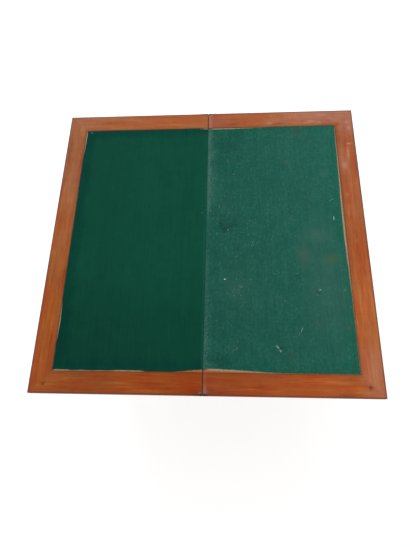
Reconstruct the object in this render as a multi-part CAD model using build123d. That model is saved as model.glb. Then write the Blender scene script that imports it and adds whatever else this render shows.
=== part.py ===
from build123d import *
import os

# A turn-over card table, with its top swivelled and unfolded for play. The two leaves meet at
# a seam along Y, and their near ends are at -Y. The left leaf turns on a pivot in the frame,
# and the right leaf, the flap, folds over onto it on a pair of double-pin hinges.
# Lengths are millimetres, +Z is up, and the origin is on the floor under the middle of the top.

# The top
table_height = 740.0
leaf_length = 860.0
leaf_width = 442.0
leaf_thickness = 19.0
seam_gap = 1.0
border_width = 56.0
edge_round = 1.0
seam_round = 2.8
inner_arris = 0.4

# The groundwork of a leaf and its joints
seam_lipping_width = 14.0
lipping_round = 1.2
tongue_length = 7.0
tongue_thickness = 6.0
mitre_tongue_length = 36.0
mitre_tongue_width = 24.0
mitre_tongue_thickness = 4.0
veneer_thickness = 1.2
glue_line = 0.1

# The baize
cloth_thickness = 1.0
cloth_recess = 1.8
cloth_margin = 1.0
cloth_seam_inset = 0.6
cloth_round = 0.7

# The locating peg and its hole
peg_radius = 3.2
peg_proud = 3.0
peg_depth = 5.5
peg_inset_x = 36.5
peg_inset_y = 24.5
peg_dome = 1.5
peg_clearance = 0.6

# The hinges
pin_depth = 3.6
pin_radius = 1.3
closed_gap = 1.2
hinge_plate_length = 28.0
hinge_plate_height = 11.0
hinge_plate_thickness = 4.4
hinge_link_thickness = 1.5
hinge_link_radius = 2.4
hinge_clearance = 0.05
rivet_head_radius = 2.4
rivet_head_height = 1.0
rivet_dome_share = 0.9
hinge_screw_length = 16.0
hinge_screw_radius = 1.3
hinge_screw_head_radius = 2.6
hinge_screw_first = 11.5
hinge_screw_spacing = 9.5
screw_slot_width = 0.7
screw_slot_depth = 0.8

# The frame, which the closed top overhangs all round
end_overhang = 25.0
side_overhang = 25.0
leaf_clearance = 0.3
leg_square = 44.0
leg_block_drop = 8.0
ankle_square = 26.0
spade_square = 35.0
sole_square = 26.0
spade_height = 92.0
spade_shoulder = 9.0
rail_thickness = 20.0
rail_height = 92.0
rail_setback = 2.0
tenon_length = 22.0
tenon_thickness = 8.0
tenon_shoulder = 14.0
bead_height = 5.0
bead_rebate = 3.0

# The pivot
bearer_thickness = 24.0
bearer_lap = 12.0
bearer_screw_length = 44.0
bearer_screw_radius = 2.3
bearer_screw_head_radius = 4.6
bearer_screw_inset = 16.5
bush_radius = 9.0
bush_flange_radius = 15.0
bush_flange_thickness = 3.0
bush_proud = 1.0
bolt_radius = 6.0
bolt_head_radius = 10.0
bolt_end_proud = 3.0
running_clearance = 0.05
washer_radius = 14.0
washer_thickness = 2.0
washer_gap = 0.2
nut_width = 19.0
nut_height = 9.0
pivot_plate_length = 84.0
pivot_plate_width = 60.0
pivot_plate_thickness = 4.0
pivot_plate_corner = 7.0
pivot_screw_length = 14.0
pivot_screw_radius = 2.0
pivot_screw_head_radius = 4.0
pivot_screw_inset = 11.0

# The stop peg under the turning leaf
stop_radius = 10.0
stop_drop = 26.0
stop_socket = 11.0
stop_lead = 60.0
stop_clearance = 0.3
stop_chamfer = 1.5

# The well
well_depth = 62.0
floor_thickness = 9.0
floor_clearance = 0.5
fillet_width = 12.0
fillet_height = 14.0
lining_thickness = 1.0
lining_margin = 0.5

# One overrun for every cut, and the reach within which an edge counts as found
overrun = 5.0
near = 0.01

# Heights
top_z = table_height
under_z = top_z - leaf_thickness
ground_z = top_z - cloth_recess
middle_z = top_z - leaf_thickness / 2
flap_ground_z = under_z + veneer_thickness
frame_z = under_z - leaf_clearance
rail_z = frame_z - rail_height
bearer_z = frame_z - bearer_thickness
floor_z = frame_z - well_depth
floor_under_z = floor_z - floor_thickness

# The plan of a leaf, measured on the flap's side, where X is positive
seam_x = seam_gap / 2
edge_x = seam_x + leaf_width
field_x = edge_x - border_width
lipping_x = seam_x + seam_lipping_width
end_y = leaf_length / 2
field_y = end_y - border_width
peg_x = edge_x - peg_inset_x
peg_y = end_y - peg_inset_y

# The hinge pins stand half a closed gap further from the seam than they lie below the surface
pin_x = pin_depth + closed_gap / 2
pin_z = top_z - pin_depth
hinge_y = end_y - hinge_plate_thickness / 2

# The plan of the frame. Closed, the leaves lie along X, so their length sets the frame's.
leg_x = leaf_length / 2 - end_overhang
leg_y = leaf_width / 2 - side_overhang
shoulder_x = leg_x - leg_square
shoulder_y = leg_y - leg_square
face_x = leg_x - rail_setback
face_y = leg_y - rail_setback
well_x = face_x - rail_thickness
well_y = face_y - rail_thickness

# The pivot lies where a quarter turn carries the folded top from its open place to the
# middle of the frame. Its bearer is as wide as the two stops of the peg ask for.
pivot_x = -(seam_x + leaf_width / 2) / 2
pivot_y = -pivot_x
stop_offset = well_y - pivot_y - stop_radius - stop_clearance
bearer_half = stop_offset - stop_radius - stop_clearance
stop_x = pivot_x + stop_offset
stop_y = pivot_y - stop_lead


def block(low, high):
    """A box between two opposite corners."""
    size = [b - a for a, b in zip(low, high)]
    middle = [(a + b) / 2 for a, b in zip(low, high)]
    return Pos(*middle) * Box(*size)


def slab(points, low, high):
    """A flat piece with a straight-sided outline, between two heights."""
    outline = Pos(0, 0, low) * make_face(Polyline(*points, close=True))
    return extrude(outline, amount=high - low, dir=(0, 0, 1))


def turned(points):
    """A round piece about +Z through the origin, from points of radius and height."""
    outline = make_face(Polyline(*[(radius, 0, height) for radius, height in points], close=True))
    return revolve(outline, axis=Axis.Z)


def edges_at(shape, axis, **place):
    """The straight edges along an axis whose middles have the given coordinates."""
    found = shape.edges().filter_by(axis)
    for letter, value in place.items():
        found = ShapeList([e for e in found if abs(getattr(e.center(), letter) - value) < near])
    return found


def left(shape):
    """The mirror image on the other side of the seam."""
    return mirror(shape, about=Plane.YZ)


def front(shape):
    """The mirror image at the near end of the table."""
    return mirror(shape, about=Plane.XZ)


def group(shapes):
    """Separate solids that share one node."""
    return Compound(children=[solid for shape in shapes for solid in shape.solids()])


def cut(shape, holes):
    """A shape with each of several holes cut from it."""
    for hole in holes:
        shape -= hole
    return shape


def screw_blank(head_radius, radius, length, gap=0.0):
    """A countersunk screw without its slot, its flat top at the origin and its point down."""
    head_depth = head_radius - radius
    point = radius * 2
    return turned([
        (0, gap),
        (head_radius + 2 * gap, gap),
        (radius + gap, -head_depth),
        (radius + gap, point - length),
        (0, -length - gap),
    ])


def screw(head_radius, radius, length):
    """The same screw with its driver slot."""
    slot = block(
        (-head_radius - overrun, -screw_slot_width / 2, -screw_slot_depth),
        (head_radius + overrun, screw_slot_width / 2, overrun),
    )
    return screw_blank(head_radius, radius, length) - slot


# The border and groundwork of a leaf, on the flap's side

def tongue_plate(gap=0.0):
    """The tongue all round the core panel, or with a gap the groove that takes it."""
    half = tongue_thickness / 2 + gap
    reach = tongue_length + gap
    return block(
        (lipping_x - reach, -field_y - reach, middle_z - half),
        (field_x + reach, field_y + reach, middle_z + half),
    )


def mitre_tongue(gap=0.0):
    """The loose tongue hidden in the far mitre, or with a gap the slot that takes it."""
    size = Box(
        mitre_tongue_length + 2 * gap,
        mitre_tongue_width + 2 * gap,
        mitre_tongue_thickness + 2 * gap,
    )
    inset = border_width / 2
    return Pos(edge_x - inset, end_y - inset, middle_z) * Rot(0, 0, 45) * size


def hinge_plate_blank(gap=0.0):
    """The far hinge plate's outline, or with a gap the recess let into the rail's end."""
    round_end = hinge_plate_height / 2 + gap
    centre_x = seam_x + hinge_plate_length - hinge_plate_height / 2
    inner_y = end_y - hinge_plate_thickness
    depth = hinge_plate_thickness + 2 * gap
    bar = block(
        (seam_x - 2 * gap, inner_y, top_z - hinge_plate_height - gap),
        (centre_x, inner_y + depth, top_z + gap),
    )
    end = Cylinder(round_end, depth)
    middle = (centre_x, inner_y + depth / 2, top_z - hinge_plate_height / 2)
    return bar + Pos(*middle) * Rot(90, 0, 0) * end


def hinge_screw_places():
    """The places of one hinge plate's screws, turned to drive into the rail's end."""
    first_x = seam_x + hinge_screw_first
    for x in (first_x, first_x + hinge_screw_spacing):
        yield Pos(x, end_y, top_z - hinge_plate_height / 2) * Rot(-90, 0, 0)


def hinge_screw_holes():
    """The countersunk holes of one hinge plate, which run on into the rail."""
    blank = screw_blank(hinge_screw_head_radius, hinge_screw_radius, hinge_screw_length, glue_line)
    return [place * blank for place in hinge_screw_places()]


def far_rail(bottom, rounded_below):
    """A leaf's far rail, mitred at the outer corner."""
    outline = [(seam_x, field_y), (field_x, field_y), (edge_x, end_y), (seam_x, end_y)]
    rail = slab(outline, bottom, top_z)
    rail = fillet(edges_at(rail, Axis.Y, X=seam_x, Z=top_z), seam_round)
    outer = [top_z, bottom] if rounded_below else [top_z]
    for height in outer:
        rail = fillet(edges_at(rail, Axis.X, Y=end_y, Z=height), edge_round)
    rail = chamfer(edges_at(rail, Axis.X, Y=field_y, Z=top_z), inner_arris)
    rail -= tongue_plate(glue_line)
    rail -= mitre_tongue(glue_line)
    rail -= hinge_plate_blank(glue_line)
    return cut(rail, hinge_screw_holes())


def side_stile(bottom, rounded_below):
    """A leaf's outer stile, mitred at both ends."""
    outline = [(field_x, -field_y), (edge_x, -end_y), (edge_x, end_y), (field_x, field_y)]
    stile = slab(outline, bottom, top_z)
    outer = [top_z, bottom] if rounded_below else [top_z]
    for height in outer:
        stile = fillet(edges_at(stile, Axis.Y, X=edge_x, Z=height), edge_round)
    stile = chamfer(edges_at(stile, Axis.Y, X=field_x, Z=top_z), inner_arris)
    stile -= tongue_plate(glue_line)
    stile -= mitre_tongue(glue_line)
    return stile - front(mitre_tongue(glue_line))


def seam_lipping(bottom):
    """The strip that edges the core panel along the seam."""
    strip = block((seam_x, -field_y, bottom), (lipping_x, field_y, ground_z))
    strip = fillet(edges_at(strip, Axis.Y, X=seam_x, Z=ground_z), lipping_round)
    return strip - tongue_plate(glue_line)


def core_panel(bottom):
    """The panel that carries the cloth, with its tongue."""
    return block((lipping_x, -field_y, bottom), (field_x, field_y, ground_z)) + tongue_plate()


def baize():
    """The cloth laid in the sunk field, up to the seam."""
    cloth = block(
        (seam_x + cloth_seam_inset, cloth_margin - field_y, ground_z),
        (field_x - cloth_margin, field_y - cloth_margin, ground_z + cloth_thickness),
    )
    seam_edge = edges_at(cloth, Axis.Y, X=seam_x + cloth_seam_inset, Z=ground_z + cloth_thickness)
    return fillet(seam_edge, cloth_round)


# The hinges, at the far end on the flap's side

def hinge_plate():
    """A brass plate with a slot for the link, two pin cheeks and two screw holes."""
    plate = hinge_plate_blank()
    plate = fillet(edges_at(plate, Axis.Y, X=seam_x, Z=top_z), seam_round)
    reach = hinge_link_radius + hinge_clearance
    half = hinge_link_thickness / 2 + hinge_clearance
    plate -= block(
        (seam_x - overrun, hinge_y - half, pin_z - reach),
        (pin_x + reach, hinge_y + half, top_z + overrun),
    )
    bore = Cylinder(pin_radius + hinge_clearance, hinge_plate_thickness + overrun)
    plate -= Pos(pin_x, hinge_y, pin_z) * Rot(90, 0, 0) * bore
    return cut(plate, hinge_screw_holes())


def hinge_screws():
    """The two screws of one hinge plate."""
    one = screw(hinge_screw_head_radius, hinge_screw_radius, hinge_screw_length)
    return [place * one for place in hinge_screw_places()]


def hinge_link():
    """The link that joins the two pins across the seam."""
    along = Rot(90, 0, 0)
    disc = Cylinder(hinge_link_radius, hinge_link_thickness)
    hole = Cylinder(pin_radius, hinge_link_thickness + overrun)
    half = hinge_link_thickness / 2
    link = block(
        (-pin_x, hinge_y - half, pin_z - hinge_link_radius),
        (pin_x, hinge_y + half, pin_z + hinge_link_radius),
    )
    for x in (-pin_x, pin_x):
        link += Pos(x, hinge_y, pin_z) * along * disc
    for x in (-pin_x, pin_x):
        link -= Pos(x, hinge_y, pin_z) * along * hole
    return link


def hinge_pin(x):
    """A pin riveted through the link, with a low domed head outside the plate."""
    inner = hinge_clearance - hinge_plate_thickness
    shank = Pos(0, 0, inner) * Cylinder(
        pin_radius, hinge_clearance - inner, align=(Align.CENTER, Align.CENTER, Align.MIN)
    )
    head = Pos(0, 0, hinge_clearance) * Cylinder(
        rivet_head_radius, rivet_head_height, align=(Align.CENTER, Align.CENTER, Align.MIN)
    )
    rim = head.edges().sort_by(Axis.Z)[-1]
    head = fillet(rim, rivet_head_height * rivet_dome_share)
    return Pos(x, end_y, pin_z) * Rot(-90, 0, 0) * (shank + head)


# The locating peg and its hole

def locating_peg():
    """The peg in the turning leaf's near rail, domed where it stands proud."""
    length = peg_depth + peg_proud
    peg = Cylinder(peg_radius, length, align=(Align.CENTER, Align.CENTER, Align.MIN))
    peg = fillet(peg.edges().sort_by(Axis.Z)[-1], peg_dome)
    return Pos(-peg_x, -peg_y, top_z - peg_depth) * peg


def peg_hole(x, gap):
    """A blind hole for the peg in a near rail."""
    depth = peg_depth + gap
    hole = Cylinder(peg_radius + gap, depth + overrun, align=(Align.CENTER, Align.CENTER, Align.MIN))
    return Pos(x, -peg_y, top_z - depth) * hole


# The frame, at its back right corner

def tenon_x(gap=0.0):
    """The tenon of a long rail, or with a gap its mortise in the leg."""
    middle = face_y - rail_thickness / 2
    half = tenon_thickness / 2 + gap
    return block(
        (shoulder_x, middle - half, rail_z + tenon_shoulder - gap),
        (shoulder_x + tenon_length + gap, middle + half, frame_z - tenon_shoulder + gap),
    )


def tenon_y(gap=0.0):
    """The tenon of an end rail, or with a gap its mortise in the leg."""
    middle = face_x - rail_thickness / 2
    half = tenon_thickness / 2 + gap
    return block(
        (middle - half, shoulder_y, rail_z + tenon_shoulder - gap),
        (middle + half, shoulder_y + tenon_length + gap, frame_z - tenon_shoulder + gap),
    )


def leg():
    """A leg: square at the frame, tapered on its two inner faces, with a spade foot."""
    ankle_offset = ankle_square / 2
    sections = [
        (frame_z, leg_square, leg_square / 2),
        (rail_z - leg_block_drop, leg_square, leg_square / 2),
        (spade_height, ankle_square, ankle_offset),
        (spade_height - spade_shoulder, spade_square, ankle_offset),
        (0, sole_square, ankle_offset),
    ]
    faces = [
        Pos(leg_x - offset, leg_y - offset, z) * Rectangle(side, side)
        for z, side, offset in sections
    ]
    return loft(faces, ruled=True) - tenon_x(glue_line) - tenon_y(glue_line)


def bead_x(reach, gap=0.0):
    """The bead along a long rail's lower edge, or with a gap its rebate."""
    return block(
        (-reach, face_y - bead_rebate - gap, rail_z),
        (reach, face_y, rail_z + bead_height + gap),
    )


def bead_y(reach, gap=0.0):
    """The bead along an end rail's lower edge, or with a gap its rebate."""
    return block(
        (face_x - bead_rebate - gap, -reach, rail_z),
        (face_x, reach, rail_z + bead_height + gap),
    )


def back_bead():
    """A strip with a rounded nose, glued along the back rail between the legs."""
    reach = shoulder_x - glue_line
    nose = Pos(0, face_y, rail_z + bead_height / 2) * Rot(0, 90, 0) * Cylinder(bead_height / 2, 2 * reach)
    return bead_x(reach) + nose


def right_bead():
    """The same strip along the right end rail."""
    reach = shoulder_y - glue_line
    nose = Pos(face_x, 0, rail_z + bead_height / 2) * Rot(90, 0, 0) * Cylinder(bead_height / 2, 2 * reach)
    return bead_y(reach) + nose


def bearer_screw_places():
    """The places of the screws that hold the bearer down on the long rails."""
    reach = bearer_half - bearer_screw_inset
    for y in (-well_y - bearer_lap / 2, well_y + bearer_lap / 2):
        for x in (pivot_x - reach, pivot_x + reach):
            yield Pos(x, y, frame_z)


def bearer_screw_holes():
    """The countersunk holes for those screws."""
    blank = screw_blank(bearer_screw_head_radius, bearer_screw_radius, bearer_screw_length, glue_line)
    return [place * blank for place in bearer_screw_places()]


def bearer_bar(gap=0.0):
    """The bearer across the frame, or with a gap its notches in the long rails."""
    return block(
        (pivot_x - bearer_half - gap, -well_y - bearer_lap - gap, bearer_z - gap),
        (pivot_x + bearer_half + gap, well_y + bearer_lap + gap, frame_z + gap),
    )


def long_rail():
    """The back rail with its tenons, the bearer's notch and the bead's rebate."""
    rail = block((-shoulder_x, well_y, rail_z), (shoulder_x, face_y, frame_z))
    rail += tenon_x()
    rail += left(tenon_x())
    rail -= bearer_bar(glue_line)
    rail -= bead_x(shoulder_x, glue_line)
    return cut(rail, bearer_screw_holes())


def end_rail():
    """The right end rail with its tenons and the bead's rebate."""
    rail = block((well_x, -shoulder_y, rail_z), (face_x, shoulder_y, frame_z))
    rail += tenon_y()
    rail += front(tenon_y())
    return rail - bead_y(shoulder_y, glue_line)


def leg_corners(gap):
    """The space that the four legs take up inside the frame, grown by a gap."""
    corner = block(
        (shoulder_x - gap, shoulder_y - gap, floor_under_z - overrun),
        (leg_x, leg_y, frame_z + overrun),
    )
    return [corner, left(corner), front(corner), left(front(corner))]


def well_floor():
    """The board under the well, notched round the legs."""
    reach_x = well_x - floor_clearance
    reach_y = well_y - floor_clearance
    board = block((-reach_x, -reach_y, floor_under_z), (reach_x, reach_y, floor_z))
    return cut(board, leg_corners(floor_clearance))


def well_lining():
    """The baize on the floor of the card well, from the bearer to the right end."""
    low_x = pivot_x + bearer_half
    reach_x = well_x - floor_clearance - lining_margin
    reach_y = well_y - floor_clearance - lining_margin
    cloth = block((low_x, -reach_y, floor_z), (reach_x, reach_y, floor_z + lining_thickness))
    return cut(cloth, leg_corners(floor_clearance + lining_margin))


def back_fillet():
    """The strip along the back rail that the floor rests on."""
    return block(
        (-shoulder_x, well_y - fillet_width, floor_under_z - fillet_height),
        (shoulder_x, well_y, floor_under_z),
    )


def right_fillet():
    """The strip along the right end rail that the floor rests on."""
    return block(
        (well_x - fillet_width, -shoulder_y, floor_under_z - fillet_height),
        (well_x, shoulder_y, floor_under_z),
    )


# The pivot

bush_bottom_z = bearer_z - bush_proud
washer_top_z = bush_bottom_z - washer_gap
nut_top_z = washer_top_z - washer_thickness
bolt_end_z = nut_top_z - nut_height - bolt_end_proud
plate_top_z = under_z + pivot_plate_thickness


def at_pivot(shape):
    """A shape moved so that its own Z axis is the pivot's."""
    return Pos(pivot_x, pivot_y, 0) * shape


def bush_outline(gap=0.0):
    """The bush without its bore, or with a gap the stepped hole in the bearer."""
    outer = bush_radius + gap
    flange = bush_flange_radius + gap
    step_z = frame_z - bush_flange_thickness - gap
    bottom = bush_bottom_z - gap
    return turned([
        (0, frame_z + gap),
        (flange, frame_z + gap),
        (flange, step_z),
        (outer, step_z),
        (outer, bottom),
        (0, bottom),
    ])


def pivot_bearer():
    """The board across the frame that carries the pivot."""
    board = bearer_bar() - at_pivot(bush_outline(glue_line))
    return cut(board, bearer_screw_holes())


def pivot_bush():
    """The flanged brass bush in the bearer."""
    bore = Cylinder(bolt_radius + running_clearance, 2 * frame_z)
    return at_pivot(bush_outline() - bore)


def bolt_outline(gap=0.0):
    """The bolt with its countersunk head at the top of the plate."""
    head_depth = bolt_head_radius - bolt_radius
    return turned([
        (0, plate_top_z),
        (bolt_head_radius + gap, plate_top_z),
        (bolt_radius + gap, plate_top_z - head_depth),
        (bolt_radius + gap, bolt_end_z),
        (0, bolt_end_z),
    ])


def ring(outer, low, high):
    """A flat ring that the bolt passes through."""
    tube = Cylinder(outer, high - low) - Cylinder(bolt_radius + glue_line, high - low + overrun)
    return at_pivot(Pos(0, 0, (low + high) / 2) * tube)


def pivot_nut():
    """The hexagon nut under the washer."""
    hexagon = RegularPolygon(nut_width / 2, 6, major_radius=False)
    nut = extrude(Pos(0, 0, nut_top_z - nut_height) * hexagon, amount=nut_height, dir=(0, 0, 1))
    hole = Pos(0, 0, nut_top_z) * Cylinder(bolt_radius + glue_line, 2 * nut_height + overrun)
    return at_pivot(nut - hole)


def pivot_plate_outline(gap=0.0):
    """The plate let into the underside of the leaf, or with a gap its recess."""
    outline = RectangleRounded(
        pivot_plate_length + 2 * gap, pivot_plate_width + 2 * gap, pivot_plate_corner + gap
    )
    bottom = under_z - gap
    return at_pivot(extrude(Pos(0, 0, bottom) * outline, amount=plate_top_z - bottom, dir=(0, 0, 1)))


def pivot_screw_places():
    """The places of the plate's screws, which drive upwards."""
    reach_x = pivot_plate_length / 2 - pivot_screw_inset
    reach_y = pivot_plate_width / 2 - pivot_screw_inset
    for x in (-reach_x, reach_x):
        for y in (-reach_y, reach_y):
            yield Pos(pivot_x + x, pivot_y + y, under_z) * Rot(180, 0, 0)


def pivot_screw_holes():
    """The countersunk holes for those screws."""
    blank = screw_blank(pivot_screw_head_radius, pivot_screw_radius, pivot_screw_length, glue_line)
    return [place * blank for place in pivot_screw_places()]


def pivot_plate():
    """The iron plate that holds the bolt."""
    plate = pivot_plate_outline() - at_pivot(bolt_outline(glue_line))
    return cut(plate, pivot_screw_holes())


def stop_peg():
    """The turned peg that meets the bearer when open and the back rail when closed."""
    length = stop_drop + stop_socket
    peg = Cylinder(stop_radius, length, align=(Align.CENTER, Align.CENTER, Align.MIN))
    peg = chamfer(peg.edges().sort_by(Axis.Z)[0], stop_chamfer)
    return Pos(stop_x, stop_y, under_z - stop_drop) * peg


def stop_peg_socket():
    """The blind hole for the stop peg in the underside of the leaf."""
    depth = stop_socket + glue_line
    hole = Cylinder(
        stop_radius + glue_line, depth + overrun, align=(Align.CENTER, Align.CENTER, Align.MAX)
    )
    return Pos(stop_x, stop_y, under_z + depth) * hole


def fixed_core_panel():
    """The turning leaf's core, cut for the pivot plate, its screws and the stop peg."""
    panel = left(core_panel(under_z)) - pivot_plate_outline(glue_line)
    return cut(panel, [*pivot_screw_holes(), stop_peg_socket()])


# Pieces that are the same at both ends or on both sides are made once and mirrored
the_leg = leg()
the_long_rail = long_rail()
the_end_rail = end_rail()
the_plate = hinge_plate()
the_screws = hinge_screws()
the_link = hinge_link()
the_pins = group([hinge_pin(-pin_x), hinge_pin(pin_x)])
fixed_far_rail = left(far_rail(under_z, True))
flap_far_rail = far_rail(flap_ground_z, False)
flap_screws = group(the_screws + [front(one) for one in the_screws])

# The show veneer covers the flap's underside, which is the top of the table when it is closed.
# Its seam edge is rounded too, so that it clears the frame as the flap swings up.
show_veneer = block((seam_x, -end_y, under_z), (edge_x, end_y, flap_ground_z))
for place in ({"X": seam_x}, {"X": edge_x}, {"Y": end_y}, {"Y": -end_y}):
    run = Axis.Y if "X" in place else Axis.X
    show_veneer = fillet(edges_at(show_veneer, run, Z=under_z, **place), edge_round)

nodes = {
    "leg_back_right": the_leg,
    "leg_back_left": left(the_leg),
    "leg_front_right": front(the_leg),
    "leg_front_left": left(front(the_leg)),
    "back_rail": the_long_rail,
    "front_rail": front(the_long_rail),
    "right_end_rail": the_end_rail,
    "left_end_rail": left(the_end_rail),
    "back_bead": back_bead(),
    "front_bead": front(back_bead()),
    "right_bead": right_bead(),
    "left_bead": left(right_bead()),
    "pivot_bearer": pivot_bearer(),
    "bearer_screws": group([
        place * screw(bearer_screw_head_radius, bearer_screw_radius, bearer_screw_length)
        for place in bearer_screw_places()
    ]),
    "pivot_bush": pivot_bush(),
    "well_floor": well_floor(),
    "back_floor_fillet": back_fillet(),
    "front_floor_fillet": front(back_fillet()),
    "right_floor_fillet": right_fillet(),
    "left_floor_fillet": left(right_fillet()),
    "well_lining": well_lining(),
    "fixed_core_panel": fixed_core_panel(),
    "fixed_side_stile": left(side_stile(under_z, True)),
    "fixed_far_rail": fixed_far_rail,
    "fixed_near_rail": front(fixed_far_rail) - peg_hole(-peg_x, 0.0),
    "fixed_seam_lipping": left(seam_lipping(under_z)),
    "fixed_far_mitre_tongue": left(mitre_tongue()),
    "fixed_near_mitre_tongue": left(front(mitre_tongue())),
    "fixed_baize": left(baize()),
    "locating_peg": locating_peg(),
    "fixed_far_hinge_plate": left(the_plate),
    "fixed_near_hinge_plate": left(front(the_plate)),
    "fixed_hinge_screws": left(flap_screws),
    "pivot_plate": pivot_plate(),
    "pivot_plate_screws": group([
        place * screw(pivot_screw_head_radius, pivot_screw_radius, pivot_screw_length)
        for place in pivot_screw_places()
    ]),
    "pivot_bolt": at_pivot(bolt_outline()),
    "pivot_washer": ring(washer_radius, nut_top_z, washer_top_z),
    "pivot_nut": pivot_nut(),
    "stop_peg": stop_peg(),
    "far_hinge_link": the_link,
    "near_hinge_link": front(the_link),
    "far_hinge_pins": the_pins,
    "near_hinge_pins": front(the_pins),
    "flap_core_panel": core_panel(flap_ground_z),
    "flap_side_stile": side_stile(flap_ground_z, False),
    "flap_far_rail": flap_far_rail,
    "flap_near_rail": front(flap_far_rail) - peg_hole(peg_x, peg_clearance),
    "flap_seam_lipping": seam_lipping(flap_ground_z),
    "flap_far_mitre_tongue": mitre_tongue(),
    "flap_near_mitre_tongue": front(mitre_tongue()),
    "flap_show_veneer": show_veneer,
    "flap_baize": baize(),
    "flap_far_hinge_plate": the_plate,
    "flap_near_hinge_plate": front(the_plate),
    "flap_hinge_screws": flap_screws,
}

os.makedirs("parts", exist_ok=True)
for name, shape in nodes.items():
    export_step(shape, f"parts/{name}.step")
print(len(nodes), "nodes; pivot at", round(pivot_x, 3), round(pivot_y, 3))
print("pins at x", pin_x, "z", pin_z, "; stop peg at", round(stop_x, 3), round(stop_y, 3))
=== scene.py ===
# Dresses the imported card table: baize, polish, tarnish, wear and lint, with its stage and camera.
import math
import random

import bpy
from mathutils import Matrix, Vector, noise


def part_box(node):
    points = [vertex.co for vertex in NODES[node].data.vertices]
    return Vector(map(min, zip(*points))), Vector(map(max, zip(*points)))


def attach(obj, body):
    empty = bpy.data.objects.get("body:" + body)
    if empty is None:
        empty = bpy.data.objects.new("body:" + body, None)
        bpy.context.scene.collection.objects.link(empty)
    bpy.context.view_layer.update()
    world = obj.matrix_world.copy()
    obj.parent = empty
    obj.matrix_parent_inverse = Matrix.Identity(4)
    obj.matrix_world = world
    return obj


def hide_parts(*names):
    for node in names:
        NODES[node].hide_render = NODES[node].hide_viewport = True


bl_info = {
    "name": "Turn-over card table",
    "version": (1, 0, 0),
    "blender": (4, 5, 0),
    "location": "3D View > Sidebar > Card table",
    "description": "Cloths, finishes and small pieces of a turn-over card table",
    "category": "Object",
}

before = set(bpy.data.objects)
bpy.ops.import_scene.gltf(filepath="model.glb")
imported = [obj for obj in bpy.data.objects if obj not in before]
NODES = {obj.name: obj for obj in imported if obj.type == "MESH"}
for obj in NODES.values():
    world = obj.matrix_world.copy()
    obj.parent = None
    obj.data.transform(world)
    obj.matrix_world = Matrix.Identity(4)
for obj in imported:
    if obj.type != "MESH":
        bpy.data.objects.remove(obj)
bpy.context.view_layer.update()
MM = 0.001


def box_of(node):
    low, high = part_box(node)
    return tuple(low), tuple(high)


# Places that the pieces share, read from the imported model
TOP = box_of("fixed_side_stile")[1][2]
SIDE_X = box_of("flap_side_stile")[1][0]
END_Y = box_of("flap_side_stile")[1][1]
FIELD_X = box_of("flap_side_stile")[0][0]
FIELD_Y = box_of("flap_far_rail")[0][1]
CLOTH_LOW, CLOTH_HIGH = box_of("flap_baize")
LINING_LOW, LINING_HIGH = box_of("well_lining")
UNDERSIDE = box_of("fixed_side_stile")[0][2]


# Sizes and colours that a user would change
def length(title, note, value):
    return bpy.props.FloatProperty(
        name=title, description=note, default=value, min=0.0, max=1.0, precision=5, unit="LENGTH"
    )


def share(title, note, value, high=1.0):
    return bpy.props.FloatProperty(
        name=title, description=note, default=value, min=0.0, max=high, subtype="FACTOR"
    )


def colour(title, note, value):
    return bpy.props.FloatVectorProperty(
        name=title, description=note, default=value, size=3, min=0.0, max=1.0, subtype="COLOR"
    )


def count(title, note, value):
    return bpy.props.IntProperty(name=title, description=note, default=value, min=0, max=2000)


class ClothSizes(bpy.types.PropertyGroup):
    thickness: length("Thickness", "Thickness of the baize", CLOTH_HIGH[2] - CLOTH_LOW[2])
    seam_reach: length("Seam reach", "From the middle of the seam to a cloth's cut edge", 0.20 * MM)
    kept_margin: length("Kept margin", "Width of the fresher band along the border", 27 * MM)
    turn_down: length("Turned down", "How far a cloth's edge drops at the seam", 0.20 * MM)
    ripple: length("Ripple", "Height of the slow waves in the cloth", 0.12 * MM)
    curl: length("Curl", "How far a shrunken edge lifts off the groundwork", 0.35 * MM)
    ragged: length("Ragged edge", "How far the cut edge wanders", 0.3 * MM)


class LintSizes(bpy.types.PropertyGroup):
    seam_fibres: count("Seam fibres", "Worn fibres along the flap's seam edge", 420)
    crumbs: count("Crumbs", "Specks of dust on the flap's cloth", 820)
    edge_threads: count("Edge threads", "Frayed threads along the cloths' edges", 260)
    fibre_length: length("Fibre length", "Length of a worn fibre", 4.0 * MM)
    fibre_width: length("Fibre width", "Thickness of a worn fibre", 0.26 * MM)


class WoodColours(bpy.types.PropertyGroup):
    deep: colour("Mahogany, deep", "Darkest streaks of the mahogany", (0.200, 0.036, 0.009))
    red: colour("Mahogany, red", "Redder bands of the mahogany", (0.300, 0.062, 0.012))
    warm: colour("Mahogany, warm", "Most of the mahogany", (0.335, 0.078, 0.014))
    light: colour("Mahogany, light", "Lightest streaks of the mahogany", (0.420, 0.125, 0.030))
    # The bloom colour also paints part of the sheen on the far and right boards.
    bloom: colour("Bloom", "Dull pinkish bloom in the old polish", (0.430, 0.190, 0.130))
    scuff: colour("Scuff", "Pale scuffs in the polish", (0.640, 0.430, 0.300))
    pine: colour("Pine", "The groundwork's bare pine", (0.420, 0.265, 0.125))
    oak: colour("Oak", "The bearer and tongues", (0.270, 0.165, 0.080))
    glue: colour("Old glue", "Pale glue left where the cloth has shrunk", (0.375, 0.300, 0.180))


class ClothColours(bpy.types.PropertyGroup):
    kept: colour("Kept green", "Green of the turning leaf's cloth near its border", (0.0034, 0.0520, 0.0350))
    played: colour("Played green", "Green of the turning leaf's cloth", (0.0050, 0.0642, 0.0392))
    faded: colour("Faded green", "Green of the flap's cloth", (0.0112, 0.0965, 0.0680))
    dust: colour("Dust", "Pale dust and worn wool", (0.100, 0.180, 0.155))
    thread: colour("Thread", "Lint, threads and crumbs", (0.56, 0.70, 0.61))
    lining: colour("Well lining", "Green of the cloth in the well", (0.0060, 0.0600, 0.0360))


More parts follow.
